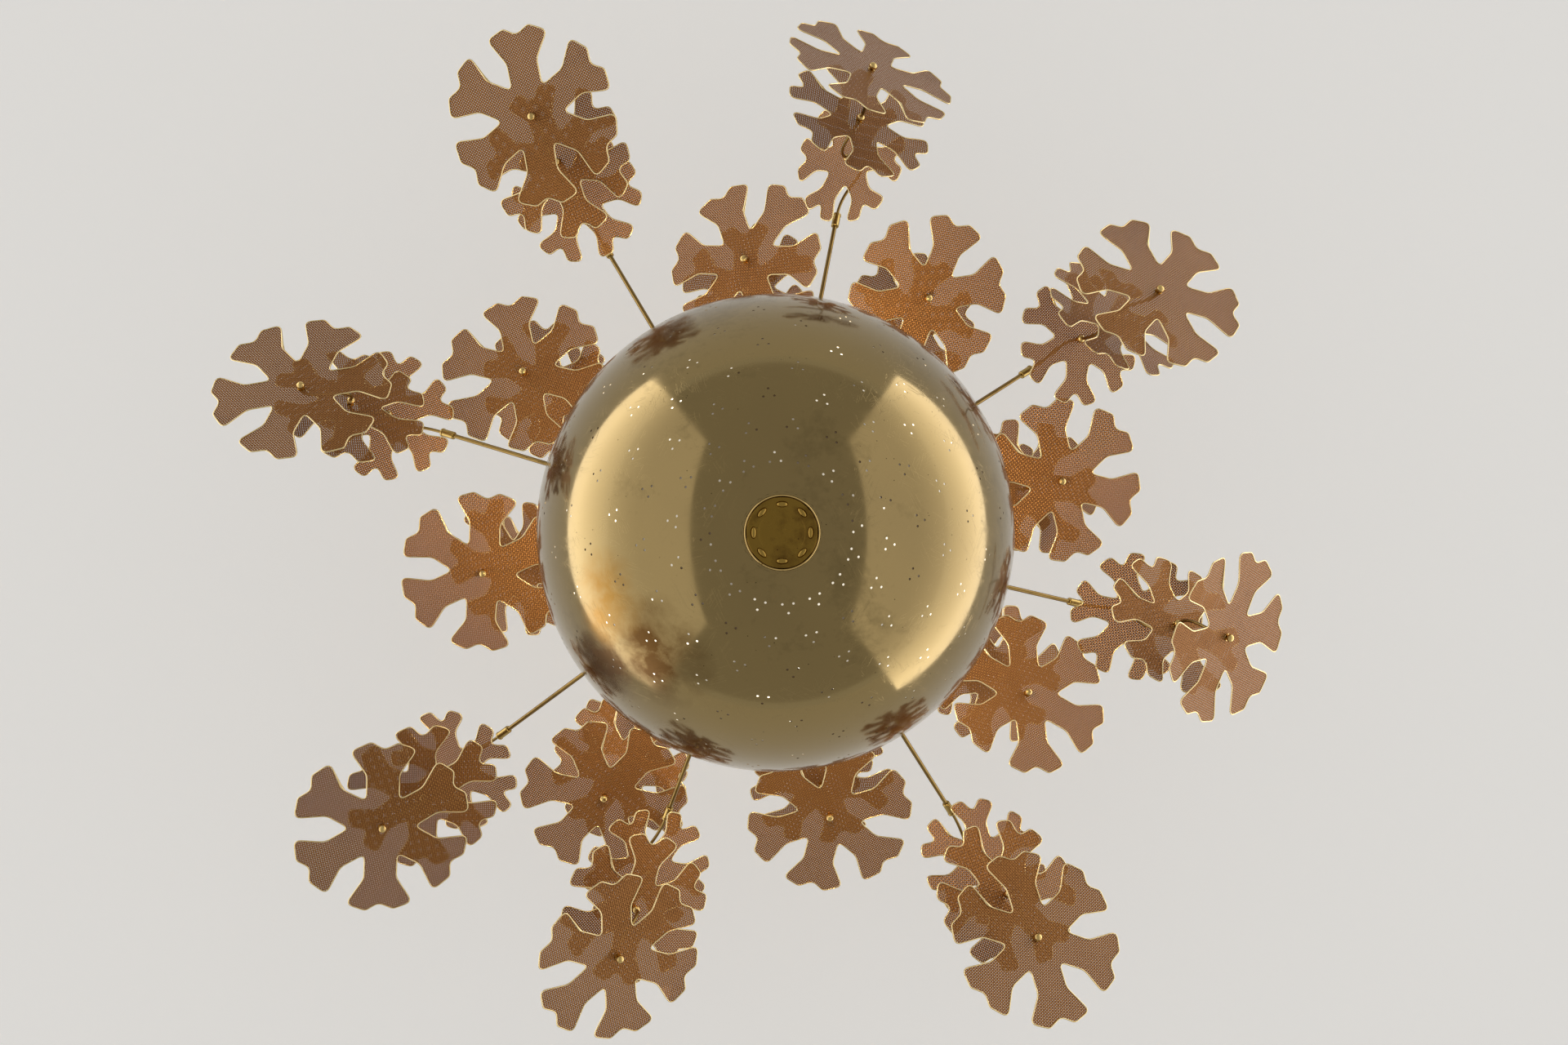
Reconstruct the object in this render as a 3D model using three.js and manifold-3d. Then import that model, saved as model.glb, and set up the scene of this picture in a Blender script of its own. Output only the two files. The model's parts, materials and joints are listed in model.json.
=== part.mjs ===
// Chandelier with a pierced brass bowl and sixteen branches, each threaded with three wire-cloth flakes.
// Millimetres, Z up, ceiling face at Z zero, branch azimuths counted from +X towards +Y.
import * as THREE from "three";
import { mergeVertices } from "three/addons/utils/BufferGeometryUtils.js";
import Module from "manifold-3d";

const wasm = await Module();
wasm.setup();

// Whole lamp
const RIM_DROP = 680;
const FIT_GAP = 0.3;

// Ceiling plate and its hook
const PLATE_RADIUS = 32;
const PLATE_THICK = 5;
const PLATE_HOLE_RADIUS = 2.5;
const PLATE_HOLE_REACH = 23;
const HOOK_WIRE_RADIUS = 3;
const HOOK_RING_RADIUS = 11;
const HOOK_SHANK = 8;
const HOOK_TIP_ANGLE = 150;

// Link between hook and stem
const LINK_WIRE_RADIUS = 2.5;
const LINK_BEND_RADIUS = 9;
const LINK_STRAIGHT = 10;

// Stem
const EYE_WIRE_RADIUS = 2.5;
const EYE_RING_RADIUS = 9;
const STEM_NECK_RADIUS = 8;
const STEM_NECK_HEIGHT = 12;
const STEM_RADIUS = 6.5;
const STEM_BORE_RADIUS = 2.7;
const STEM_SIDE_HOLE_RADIUS = 2.5;

// Canopy
const CANOPY_DROP = 8;
const CANOPY_RADIUS = 60;
const CANOPY_SIDE = 14;
const CANOPY_DEPTH = 84;
const CANOPY_FOOT_RADIUS = 14;
const CANOPY_WALL = 1.4;

// Hubs that hold the branches, heights above the bowl's rim
const HUB_RADIUS = 24;
const HUB_HEIGHT = 20;
const HUB_EDGE = 3;
const LONG_HUB_RISE = 50;
const SHORT_HUB_RISE = 108;

// Rods, drooping wires and nuts
const ROD_RADIUS = 2;
const WIRE_RADIUS = 1.5;
const ROD_START = 16.8;
const FERRULE_RADIUS = 3.6;
const FERRULE_LENGTH = 16;
const COLLAR_RADIUS = 3;
const COLLAR_HEIGHT = 4;
const NUT_RADIUS = 3.8;
const NUT_HEIGHT = 6.6;
const WIRE_PULL = 18;
const WIRE_SEAT_DEPTH = 2;
const FIRST_WIRE_PULL_SHARE = 0.75;

// Flakes: outline of one arm, seen from the flake's middle along the arm and across it
const FLAKE_THICK = 1;
const LARGE_FLAKE = {
  notch: 71,
  tipAlong: 78,
  tipAcross: 12,
  lobeAlong: 71,
  lobeAcross: 29,
  neckAlong: 48,
  neckAcross: 14,
  gapReach: 29,
};
const MEDIUM_FLAKE = {
  notch: 57,
  tipAlong: 69,
  tipAcross: 10.5,
  lobeAlong: 63,
  lobeAcross: 26,
  neckAlong: 42,
  neckAcross: 11.5,
  gapReach: 26.5,
};
const SMALL_FLAKE = {
  notch: 48,
  tipAlong: 61,
  tipAcross: 9,
  lobeAlong: 56,
  lobeAcross: 23,
  neckAlong: 38,
  neckAcross: 10,
  gapReach: 24,
};

// Branch tiers: where the rod ends and where each flake's middle sits, out from the axis and above the rim
const LONG_TIER = {
  ferrule: { reach: 306, rise: 235 },
  small: { reach: 354, rise: 205 },
  medium: { reach: 381, rise: 150 },
  large: { reach: 417, rise: 95 },
};
const SHORT_TIER = {
  ferrule: { reach: 150, rise: 388 },
  small: { reach: 224, rise: 345 },
  medium: { reach: 251, rise: 297 },
  large: { reach: 276, rise: 248 },
};

// Branches as set by hand: azimuth, extra reach, then per flake from small to large
// how far its face leans from straight down, towards which side of the branch, and how its arms are turned
const LONG_BRANCHES = [
  { azimuth: 60, extra: 5, lean: [18, 20, 20], side: [-115, -85, -100], turn: [48, 8, 21] },
  { azimuth: 102, extra: 0, lean: [40, 43, 56], side: [-90, 20, 15], turn: [8, 31, 55] },
  { azimuth: 148, extra: -15, lean: [17, 50, 34], side: [35, -22, -29], turn: [35, 56, 12] },
  { azimuth: 193, extra: -5, lean: [15, 39, 42], side: [100, -60, 5], turn: [15, 18, 55] },
  { azimuth: 237, extra: 10, lean: [30, 28, 26], side: [-120, -105, -113], turn: [23, 48, 18] },
  { azimuth: 290, extra: -20, lean: [25, 23, 32], side: [-80, -95, -78], turn: [10, 45, 23] },
  { azimuth: 323, extra: 12, lean: [25, 23, 21], side: [-20, -88, -99], turn: [22, 30, 32] },
  { azimuth: 17, extra: 15, lean: [18, 46, 36], side: [120, 95, 71], turn: [41, 32, 48] },
];
const SHORT_BRANCHES = [
  { azimuth: 85, extra: -18, lean: [20, 25, 31], side: [-40, -50, -56], turn: [40, 25, 7] },
  { azimuth: 124, extra: -8, lean: [25, 22, 19], side: [60, 85, 100], turn: [20, 51, 50] },
  { azimuth: 170, extra: 5, lean: [20, 19, 14], side: [-60, -55, 60], turn: [20, 3, 16] },
  { azimuth: 212, extra: 12, lean: [20, 23, 26], side: [0, -18, -89], turn: [10, 55, 29] },
  { azimuth: 258, extra: -2, lean: [25, 30, 20], side: [0, 0, 7], turn: [30, 8, 42] },
  { azimuth: 302, extra: 18, lean: [25, 17, 19], side: [15, 74, -30], turn: [50, 6, 12] },
  { azimuth: 352, extra: -4, lean: [25, 26, 16], side: [-20, -28, -86], turn: [30, 3, 34] },
  { azimuth: 33, extra: 0, lean: [25, 25, 21], side: [-60, -80, 32], turn: [44, 31, 17] },
];

// Lamp body, sockets and bulbs, heights above the bowl's rim
const BODY_RISE = -140;
const BODY_COLUMN_RADIUS = 11;
const BODY_COLUMN_TOP = 28;
const BODY_PLATE_RADIUS = 24;
const BODY_PLATE_THICK = 9;
const BODY_CONE_HEIGHT = 14;
const BODY_FOOT_RADIUS = 20;
const BODY_FOOT_THICK = 3;
const TIE_ROD_RADIUS = 4;
const TIE_ROD_REACH = 5;
const SOCKET_COUNT = 3;
const SOCKET_REACH = 17;
const SOCKET_LEAN = 32;
const SOCKET_RADIUS = 14;
const SOCKET_LENGTH = 40;
const SOCKET_DEPTH = 22;
const SOCKET_ROOT = 6;
const BULB_CAP_RADIUS = 10;
const BULB_CAP_LENGTH = 24;
const BULB_CAP_TIP_RADIUS = 6;
const BULB_CAP_TIP_HEIGHT = 3;
const BULB_NECK_ANGLE = -56;
const BULB_GLOBE_RADIUS = 22.5;
const BULB_GLOBE_RISE = 50;

// Bowl and the cap beneath it
const BOWL_RADIUS = 200;
const BOWL_WALL = 1.4;
const BOWL_BEAD_RADIUS = 2.2;
const BOWL_BEAD_ANGLES = [-30, 20, 70, 120];
const BOWL_SEAT_RADIUS = 31;
const CAP_RADIUS = 29;
const CAP_THICK = 10;
const CAP_RIM = 2;
const CAP_EDGE = 1;
const CAP_RECESS = 3;
const CAP_BOSS_COUNT = 8;
const CAP_BOSS_REACH = 21.5;
const CAP_BOSS_LENGTH = 9;
const CAP_BOSS_WIDTH = 4.4;

// How far joined pieces run into each other, and cuts run past a face
const OVERRUN = 1;

// Sides and steps of the round forms, kept few because there are many of them
const WIRE_SIDES = 6;
const THIN_WIRE_SIDES = 5;
const TUBE_SIDES = 12;
const SMALL_HOLE_SIDES = 8;
const TIE_ROD_SIDES = 10;
const SOCKET_SIDES = 14;
const BODY_SIDES = 18;
const HUB_SIDES = 20;
const CANOPY_SIDES = 24;
const PLATE_SIDES = 28;
const CAP_SIDES = 28;
const BOWL_SIDES = 40;
const HOOK_STEPS = 12;
const LINK_BEND_STEPS = 6;
const CANOPY_BEND_STEPS = 5;
const BULB_BEND_STEPS = 6;
const BOWL_BEND_STEPS = 7;
const FIRST_WIRE_STEPS = 6;
const NEXT_WIRE_STEPS = 3;

const UP = new THREE.Vector3(0, 0, 1);
const DOWN = new THREE.Vector3(0, 0, -1);
const rad = THREE.MathUtils.degToRad;

// Materials
function brass(colour, roughness) {
  return new THREE.MeshStandardMaterial({ color: colour, roughness, metalness: 1 });
}
const BOWL_BRASS = brass(0x94824c, 0.22);
const ROD_BRASS = brass(0x7d6536, 0.4);
const BODY_BRASS = brass(0x8a7038, 0.35);
const CAP_BRASS = brass(0x6e5522, 0.35);
const HOOK_STEEL = brass(0x77716a, 0.45);
const WIRE_CLOTH = new THREE.MeshStandardMaterial({ color: 0x96653f, roughness: 0.55, metalness: 0.7 });
const OPAL_GLASS = new THREE.MeshStandardMaterial({ color: 0xf4ead2, roughness: 0.3, metalness: 0 });

// Turning a geometry into a solid that can be joined and cut, and back
function solidOf(geometry) {
  const bare = new THREE.BufferGeometry();
  const loose = geometry.index ? geometry.toNonIndexed() : geometry;
  bare.setAttribute("position", loose.getAttribute("position").clone());
  const merged = mergeVertices(bare, 1e-4);
  return new wasm.Manifold(
    new wasm.Mesh({
      numProp: 3,
      vertProperties: merged.attributes.position.array,
      triVerts: new Uint32Array(merged.index.array),
    }),
  );
}

function geometryOf(solid) {
  const mesh = solid.getMesh();
  const geometry = new THREE.BufferGeometry();
  geometry.setAttribute("position", new THREE.BufferAttribute(new Float32Array(mesh.vertProperties), 3));
  geometry.setIndex(new THREE.BufferAttribute(new Uint32Array(mesh.triVerts), 1));
  geometry.computeVertexNormals();
  return geometry;
}

function joined(geometries) {
  let whole = solidOf(geometries[0]);
  for (const geometry of geometries.slice(1)) {
    whole = whole.add(solidOf(geometry));
  }
  return whole;
}

function mesh(name, geometry, material) {
  const made = new THREE.Mesh(geometry, material);
  made.name = name;
  return made;
}

// A body of revolution about Z from points of (radius, height), given up the outside
function turned(profile, segments) {
  const points = profile.map(([r, z]) => new THREE.Vector2(r, z));
  const geometry = new THREE.LatheGeometry(points, segments);
  geometry.rotateX(Math.PI / 2);
  return geometry;
}

// A disc or collar about Z between two heights
function disc(radius, low, high, segments) {
  return turned(
    [
      [0, low],
      [radius, low],
      [radius, high],
      [0, high],
    ],
    segments,
  );
}

function circle(radius, sides) {
  const shape = new THREE.Shape();
  for (let i = 0; i < sides; i++) {
    const a = (2 * Math.PI * i) / sides;
    const point = [radius * Math.cos(a), radius * Math.sin(a)];
    if (i === 0) shape.moveTo(...point);
    else shape.lineTo(...point);
  }
  shape.closePath();
  return shape;
}

function wireAlong(curve, radius, steps, sides) {
  return new THREE.ExtrudeGeometry(circle(radius, sides), { steps, bevelEnabled: false, extrudePath: curve });
}

// An arc in the upright plane through Z and the given sideways direction
class UprightArc extends THREE.Curve {
  constructor(sideways, centreZ, radius, from, to) {
    super();
    this.sideways = sideways;
    this.centreZ = centreZ;
    this.radius = radius;
    this.from = rad(from);
    this.to = rad(to);
  }
  getPoint(t, target = new THREE.Vector3()) {
    const a = this.from + (this.to - this.from) * t;
    target.copy(this.sideways).multiplyScalar(this.radius * Math.cos(a));
    target.z = this.centreZ + this.radius * Math.sin(a);
    return target;
  }
}

const ALONG_X = new THREE.Vector3(1, 0, 0);
const ALONG_Y = new THREE.Vector3(0, 1, 0);

// Heights in the hanging chain, taken at the middle of each wire
const HOOK_CENTRE_Z = -PLATE_THICK - HOOK_SHANK - HOOK_RING_RADIUS;
const HOOK_LOW_Z = HOOK_CENTRE_Z - HOOK_RING_RADIUS;
const LINK_TOP_Z = HOOK_LOW_Z + HOOK_WIRE_RADIUS + LINK_WIRE_RADIUS + FIT_GAP;
const LINK_LOW_Z = LINK_TOP_Z - 2 * LINK_BEND_RADIUS - LINK_STRAIGHT;
const EYE_TOP_Z = LINK_LOW_Z + LINK_WIRE_RADIUS + EYE_WIRE_RADIUS + FIT_GAP;
const EYE_CENTRE_Z = EYE_TOP_Z - EYE_RING_RADIUS;
const STEM_TOP_Z = EYE_CENTRE_Z - EYE_RING_RADIUS;

function ceilingPlate() {
  const shankTop = -PLATE_THICK + OVERRUN;
  const shankLow = HOOK_CENTRE_Z + HOOK_RING_RADIUS - OVERRUN;
  const ring = new UprightArc(ALONG_X, HOOK_CENTRE_Z, HOOK_RING_RADIUS, 90, HOOK_TIP_ANGLE - 360);
  let whole = joined([
    disc(PLATE_RADIUS, -PLATE_THICK, 0, PLATE_SIDES),
    disc(HOOK_WIRE_RADIUS, shankLow, shankTop, WIRE_SIDES),
    wireAlong(ring, HOOK_WIRE_RADIUS, HOOK_STEPS, WIRE_SIDES),
  ]);
  for (const side of [-1, 1]) {
    const hole = disc(PLATE_HOLE_RADIUS, -PLATE_THICK - OVERRUN, OVERRUN, SMALL_HOLE_SIDES);
    hole.translate(0, side * PLATE_HOLE_REACH, 0);
    whole = whole.subtract(solidOf(hole));
  }
  return mesh("ceiling_plate", geometryOf(whole), HOOK_STEEL);
}

function hookLink() {
  const topCentre = LINK_TOP_Z - LINK_BEND_RADIUS;
  const lowCentre = LINK_LOW_Z + LINK_BEND_RADIUS;
  const topBend = new UprightArc(ALONG_Y, topCentre, LINK_BEND_RADIUS, 0, 180);
  const lowBend = new UprightArc(ALONG_Y, lowCentre, LINK_BEND_RADIUS, 180, 360);
  const pieces = [
    wireAlong(topBend, LINK_WIRE_RADIUS, LINK_BEND_STEPS, WIRE_SIDES),
    wireAlong(lowBend, LINK_WIRE_RADIUS, LINK_BEND_STEPS, WIRE_SIDES),
  ];
  for (const side of [-1, 1]) {
    const straight = disc(LINK_WIRE_RADIUS, lowCentre - OVERRUN / 2, topCentre + OVERRUN / 2, WIRE_SIDES);
    straight.translate(0, side * LINK_BEND_RADIUS, 0);
    pieces.push(straight);
  }
  return mesh("hook_link", geometryOf(joined(pieces)), HOOK_STEEL);
}

// Stem tube with its eye, the bore open at the foot and at a side hole below the eye
function stem() {
  const eye = new THREE.TorusGeometry(EYE_RING_RADIUS, EYE_WIRE_RADIUS, 6, 16);
  eye.rotateX(Math.PI / 2);
  eye.translate(0, 0, EYE_CENTRE_Z);
  const neckLow = STEM_TOP_Z - STEM_NECK_HEIGHT;
  const foot = -RIM_DROP + BODY_RISE + FIT_GAP;
  let whole = joined([
    eye,
    disc(STEM_NECK_RADIUS, neckLow, STEM_TOP_Z, TUBE_SIDES),
    disc(STEM_RADIUS, foot, neckLow + OVERRUN, TUBE_SIDES),
  ]);
  const boreTop = neckLow - STEM_NECK_HEIGHT;
  const bore = disc(STEM_BORE_RADIUS, foot - OVERRUN, boreTop, SMALL_HOLE_SIDES);
  const sideHole = disc(STEM_SIDE_HOLE_RADIUS, 0, STEM_RADIUS + OVERRUN, SMALL_HOLE_SIDES);
  sideHole.rotateY(Math.PI / 2);
  sideHole.translate(0, 0, boreTop - STEM_BORE_RADIUS);
  whole = whole.subtract(solidOf(bore)).subtract(solidOf(sideHole));
  return mesh("stem", geometryOf(whole), ROD_BRASS);
}

// Canopy: a bell that hides the hook, straight at the ceiling and curving in to the stem
function canopy() {
  const profile = [];
  const depth = CANOPY_DEPTH - CANOPY_SIDE;
  const span = CANOPY_RADIUS - CANOPY_FOOT_RADIUS;
  profile.push([STEM_RADIUS + FIT_GAP, -CANOPY_DEPTH]);
  for (let i = 0; i <= CANOPY_BEND_STEPS; i++) {
    const a = (Math.PI / 2) * (i / CANOPY_BEND_STEPS);
    profile.push([CANOPY_FOOT_RADIUS + span * Math.sin(a), -CANOPY_SIDE - depth * Math.cos(a)]);
  }
  profile.push([CANOPY_RADIUS, 0]);
  profile.push([CANOPY_RADIUS - CANOPY_WALL, 0]);
  for (let i = CANOPY_BEND_STEPS; i >= 0; i--) {
    const a = (Math.PI / 2) * (i / CANOPY_BEND_STEPS);
    profile.push([
      CANOPY_FOOT_RADIUS + (span - CANOPY_WALL) * Math.sin(a),
      -CANOPY_SIDE - (depth - CANOPY_WALL) * Math.cos(a),
    ]);
  }
  profile.push([STEM_RADIUS + FIT_GAP, -CANOPY_DEPTH + CANOPY_WALL]);
  profile.push([STEM_RADIUS + FIT_GAP, -CANOPY_DEPTH]);
  const made = mesh("canopy", turned(profile, CANOPY_SIDES), BODY_BRASS);
  made.position.set(0, 0, -CANOPY_DROP);
  return made;
}

// One arm of a flake repeated round six times, with a curved bottom to each gap
function flakeShape(size) {
  const shape = new THREE.Shape();
  const onArm = (arm, along, across) => {
    const a = rad(60 * arm);
    return [along * Math.cos(a) - across * Math.sin(a), along * Math.sin(a) + across * Math.cos(a)];
  };
  for (let arm = 0; arm < 6; arm++) {
    const half = [
      [size.neckAlong, -size.neckAcross],
      [size.lobeAlong, -size.lobeAcross],
      [size.tipAlong, -size.tipAcross],
      [size.notch, 0],
      [size.tipAlong, size.tipAcross],
      [size.lobeAlong, size.lobeAcross],
      [size.neckAlong, size.neckAcross],
    ];
    half.forEach(([along, across], i) => {
      const point = onArm(arm, along, across);
      if (arm === 0 && i === 0) shape.moveTo(...point);
      else shape.lineTo(...point);
    });
    const next = onArm(arm + 1, size.neckAlong, -size.neckAcross);
    const here = onArm(arm, size.neckAlong, size.neckAcross);
    const bottom = onArm(arm + 0.5, size.gapReach, 0);
    const pull = [2 * bottom[0] - (here[0] + next[0]) / 2, 2 * bottom[1] - (here[1] + next[1]) / 2];
    shape.quadraticCurveTo(...pull, ...next);
  }
  shape.holes.push(circle(WIRE_RADIUS + 2 * FIT_GAP, THIN_WIRE_SIDES));
  return shape;
}

function flakeGeometry(size) {
  const geometry = new THREE.ExtrudeGeometry(flakeShape(size), {
    depth: FLAKE_THICK,
    curveSegments: 2,
    bevelEnabled: false,
  });
  geometry.translate(0, 0, -FLAKE_THICK / 2);
  return geometry;
}

const FLAKES = [
  { size: "small", geometry: flakeGeometry(SMALL_FLAKE) },
  { size: "medium", geometry: flakeGeometry(MEDIUM_FLAKE) },
  { size: "large", geometry: flakeGeometry(LARGE_FLAKE) },
];

// A point of a branch from its reach and its rise above the rim
function placeOnBranch(branch, place) {
  const a = rad(branch.azimuth);
  const reach = place.reach + branch.extra;
  return new THREE.Vector3(reach * Math.cos(a), reach * Math.sin(a), place.rise - RIM_DROP);
}

// The way a flake's lower face looks, and the turn that carries a level flake there
function faceOf(branch, i) {
  const lean = rad(branch.lean[i]);
  const bearing = rad(branch.azimuth + branch.side[i]);
  return new THREE.Vector3(
    Math.sin(lean) * Math.cos(bearing),
    Math.sin(lean) * Math.sin(bearing),
    -Math.cos(lean),
  );
}

function attitudeOf(branch, i) {
  const tilt = new THREE.Quaternion().setFromUnitVectors(DOWN, faceOf(branch, i));
  const spin = new THREE.Quaternion().setFromAxisAngle(UP, rad(branch.turn[i]));
  return tilt.multiply(spin);
}

// The fitting that holds a flake, about a level flake: ball nut below, neck through it, collar above
const COLLAR_LOW = FLAKE_THICK / 2 + FIT_GAP;
const NUT_TOP = -FLAKE_THICK / 2 - FIT_GAP;
const FITTING = turned(
  [
    [0, NUT_TOP - NUT_HEIGHT],
    [NUT_RADIUS * 0.72, NUT_TOP - NUT_HEIGHT * 0.84],
    [NUT_RADIUS, NUT_TOP - NUT_HEIGHT * 0.45],
    [WIRE_RADIUS, NUT_TOP],
    [WIRE_RADIUS, COLLAR_LOW],
    [COLLAR_RADIUS, COLLAR_LOW],
    [0, COLLAR_LOW + COLLAR_HEIGHT],
  ],
  THIN_WIRE_SIDES,
);

// One branch: straight rod, ferrule, then a drooping wire down to each flake's fitting in turn
function branchPieces(branch, tier, hubRise) {
  const start = placeOnBranch(branch, { reach: ROD_START - branch.extra, rise: hubRise });
  const end = placeOnBranch(branch, tier.ferrule);
  const along = end.clone().sub(start).normalize();
  const ferruleStart = end.clone().addScaledVector(along, -FERRULE_LENGTH);
  const pieces = [
    wireAlong(new THREE.LineCurve3(start, end), ROD_RADIUS, 1, WIRE_SIDES),
    wireAlong(new THREE.LineCurve3(ferruleStart, end), FERRULE_RADIUS, 1, WIRE_SIDES),
  ];
  let from = end.clone().addScaledVector(along, -WIRE_SEAT_DEPTH);
  let heading = along;
  let pull = from.distanceTo(placeOnBranch(branch, tier.small)) * FIRST_WIRE_PULL_SHARE;
  FLAKES.forEach(({ size }, i) => {
    const middle = placeOnBranch(branch, tier[size]);
    const face = faceOf(branch, i);
    const arrival = middle.clone().addScaledVector(face, -COLLAR_LOW - COLLAR_HEIGHT / 4);
    const curve = new THREE.CubicBezierCurve3(
      from,
      from.clone().addScaledVector(heading, pull),
      arrival.clone().addScaledVector(face, -pull),
      arrival,
    );
    const steps = i === 0 ? FIRST_WIRE_STEPS : NEXT_WIRE_STEPS;
    pieces.push(wireAlong(curve, WIRE_RADIUS, steps, THIN_WIRE_SIDES));
    const fitting = FITTING.clone();
    fitting.applyQuaternion(attitudeOf(branch, i));
    fitting.translate(middle.x, middle.y, middle.z);
    pieces.push(fitting);
    from = middle.clone().addScaledVector(face, -NUT_TOP + NUT_HEIGHT * 0.7);
    heading = face;
    pull = WIRE_PULL;
  });
  return pieces;
}

function branchSet(name, branches, tier, hubRise) {
  const low = hubRise - HUB_HEIGHT / 2 - RIM_DROP;
  const high = low + HUB_HEIGHT;
  const hub = turned(
    [
      [0, low],
      [HUB_RADIUS - HUB_EDGE, low],
      [HUB_RADIUS, low + HUB_EDGE],
      [HUB_RADIUS, high - HUB_EDGE],
      [HUB_RADIUS - HUB_EDGE, high],
      [0, high],
    ],
    HUB_SIDES,
  );
  const pieces = [hub];
  for (const branch of branches) {
    pieces.push(...branchPieces(branch, tier, hubRise));
  }
  const bore = disc(STEM_RADIUS + FIT_GAP, low - OVERRUN, high + OVERRUN, TUBE_SIDES);
  return mesh(name, geometryOf(joined(pieces).subtract(solidOf(bore))), ROD_BRASS);
}

function flakesOf(name, branches, tier) {
  const group = new THREE.Group();
  branches.forEach((branch, b) => {
    FLAKES.forEach(({ size, geometry }, i) => {
      const flake = mesh(`${name}_${b + 1}_${size}_flake`, geometry, WIRE_CLOTH);
      flake.position.copy(placeOnBranch(branch, tier[size]));
      flake.quaternion.copy(attitudeOf(branch, i));
      group.add(flake);
    });
  });
  return group;
}

// Carries something drawn about Z to a socket's axis
function toSocket(object, index) {
  object.rotation.set(0, rad(SOCKET_LEAN), 0);
  object.position.set(SOCKET_REACH, 0, -RIM_DROP + BODY_RISE);
  const pivot = new THREE.Group();
  pivot.rotation.z = (2 * Math.PI * index) / SOCKET_COUNT + Math.PI / 2;
  pivot.add(object);
  return pivot;
}

function inSocketPlace(geometry, index) {
  const holder = new THREE.Object3D();
  const pivot = toSocket(holder, index);
  pivot.updateMatrixWorld(true);
  return geometry.applyMatrix4(holder.matrixWorld);
}

// Height of the flat spot outside the bowl's bottom, from the rim
const BOWL_SEAT_Z = -Math.sqrt(BOWL_RADIUS ** 2 - BOWL_SEAT_RADIUS ** 2);

// Lamp body: foot on the bowl, column that takes the stem, three sockets and the tie rod below
function lampBody() {
  const middle = -RIM_DROP + BODY_RISE;
  const footLow = BOWL_SEAT_Z + BOWL_WALL + FIT_GAP - RIM_DROP;
  const rodLow = BOWL_SEAT_Z - TIE_ROD_REACH - RIM_DROP;
  const pieces = [
    disc(BODY_COLUMN_RADIUS, footLow, middle + BODY_COLUMN_TOP, TUBE_SIDES),
    turned(
      [
        [0, middle - BODY_PLATE_THICK],
        [BODY_PLATE_RADIUS, middle - BODY_PLATE_THICK],
        [BODY_PLATE_RADIUS, middle],
        [BODY_COLUMN_RADIUS + OVERRUN, middle + BODY_CONE_HEIGHT],
        [0, middle + BODY_CONE_HEIGHT],
      ],
      BODY_SIDES,
    ),
    disc(BODY_FOOT_RADIUS, footLow, footLow + BODY_FOOT_THICK, BODY_SIDES),
    disc(TIE_ROD_RADIUS, rodLow, footLow + OVERRUN, TIE_ROD_SIDES),
  ];
  for (let i = 0; i < SOCKET_COUNT; i++) {
    pieces.push(inSocketPlace(disc(SOCKET_RADIUS, -SOCKET_ROOT, SOCKET_LENGTH, SOCKET_SIDES), i));
  }
  let whole = joined(pieces);
  for (let i = 0; i < SOCKET_COUNT; i++) {
    const floor = SOCKET_LENGTH - SOCKET_DEPTH;
    const hollow = disc(BULB_CAP_RADIUS + FIT_GAP, floor, SOCKET_LENGTH + OVERRUN, TUBE_SIDES);
    whole = whole.subtract(solidOf(inSocketPlace(hollow, i)));
  }
  const stemSeat = disc(STEM_RADIUS + FIT_GAP, middle, middle + BODY_COLUMN_TOP + OVERRUN, TUBE_SIDES);
  whole = whole.subtract(solidOf(stemSeat));
  return mesh("lamp_body", geometryOf(whole), BODY_BRASS);
}

function bulbGeometry() {
  const profile = [
    [0, 0],
    [BULB_CAP_TIP_RADIUS, 0],
    [BULB_CAP_RADIUS, BULB_CAP_TIP_HEIGHT],
    [BULB_CAP_RADIUS, BULB_CAP_LENGTH],
  ];
  for (let i = 0; i < BULB_BEND_STEPS; i++) {
    const a = rad(BULB_NECK_ANGLE + (90 - BULB_NECK_ANGLE) * (i / BULB_BEND_STEPS));
    profile.push([BULB_GLOBE_RADIUS * Math.cos(a), BULB_GLOBE_RISE + BULB_GLOBE_RADIUS * Math.sin(a)]);
  }
  profile.push([0, BULB_GLOBE_RISE + BULB_GLOBE_RADIUS]);
  return turned(profile, TUBE_SIDES);
}

function bulbs() {
  const group = new THREE.Group();
  const geometry = bulbGeometry();
  geometry.translate(0, 0, SOCKET_LENGTH - SOCKET_DEPTH + FIT_GAP);
  for (let i = 0; i < SOCKET_COUNT; i++) {
    group.add(toSocket(mesh(`bulb_${i + 1}`, geometry, OPAL_GLASS), i));
  }
  return group;
}

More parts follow.
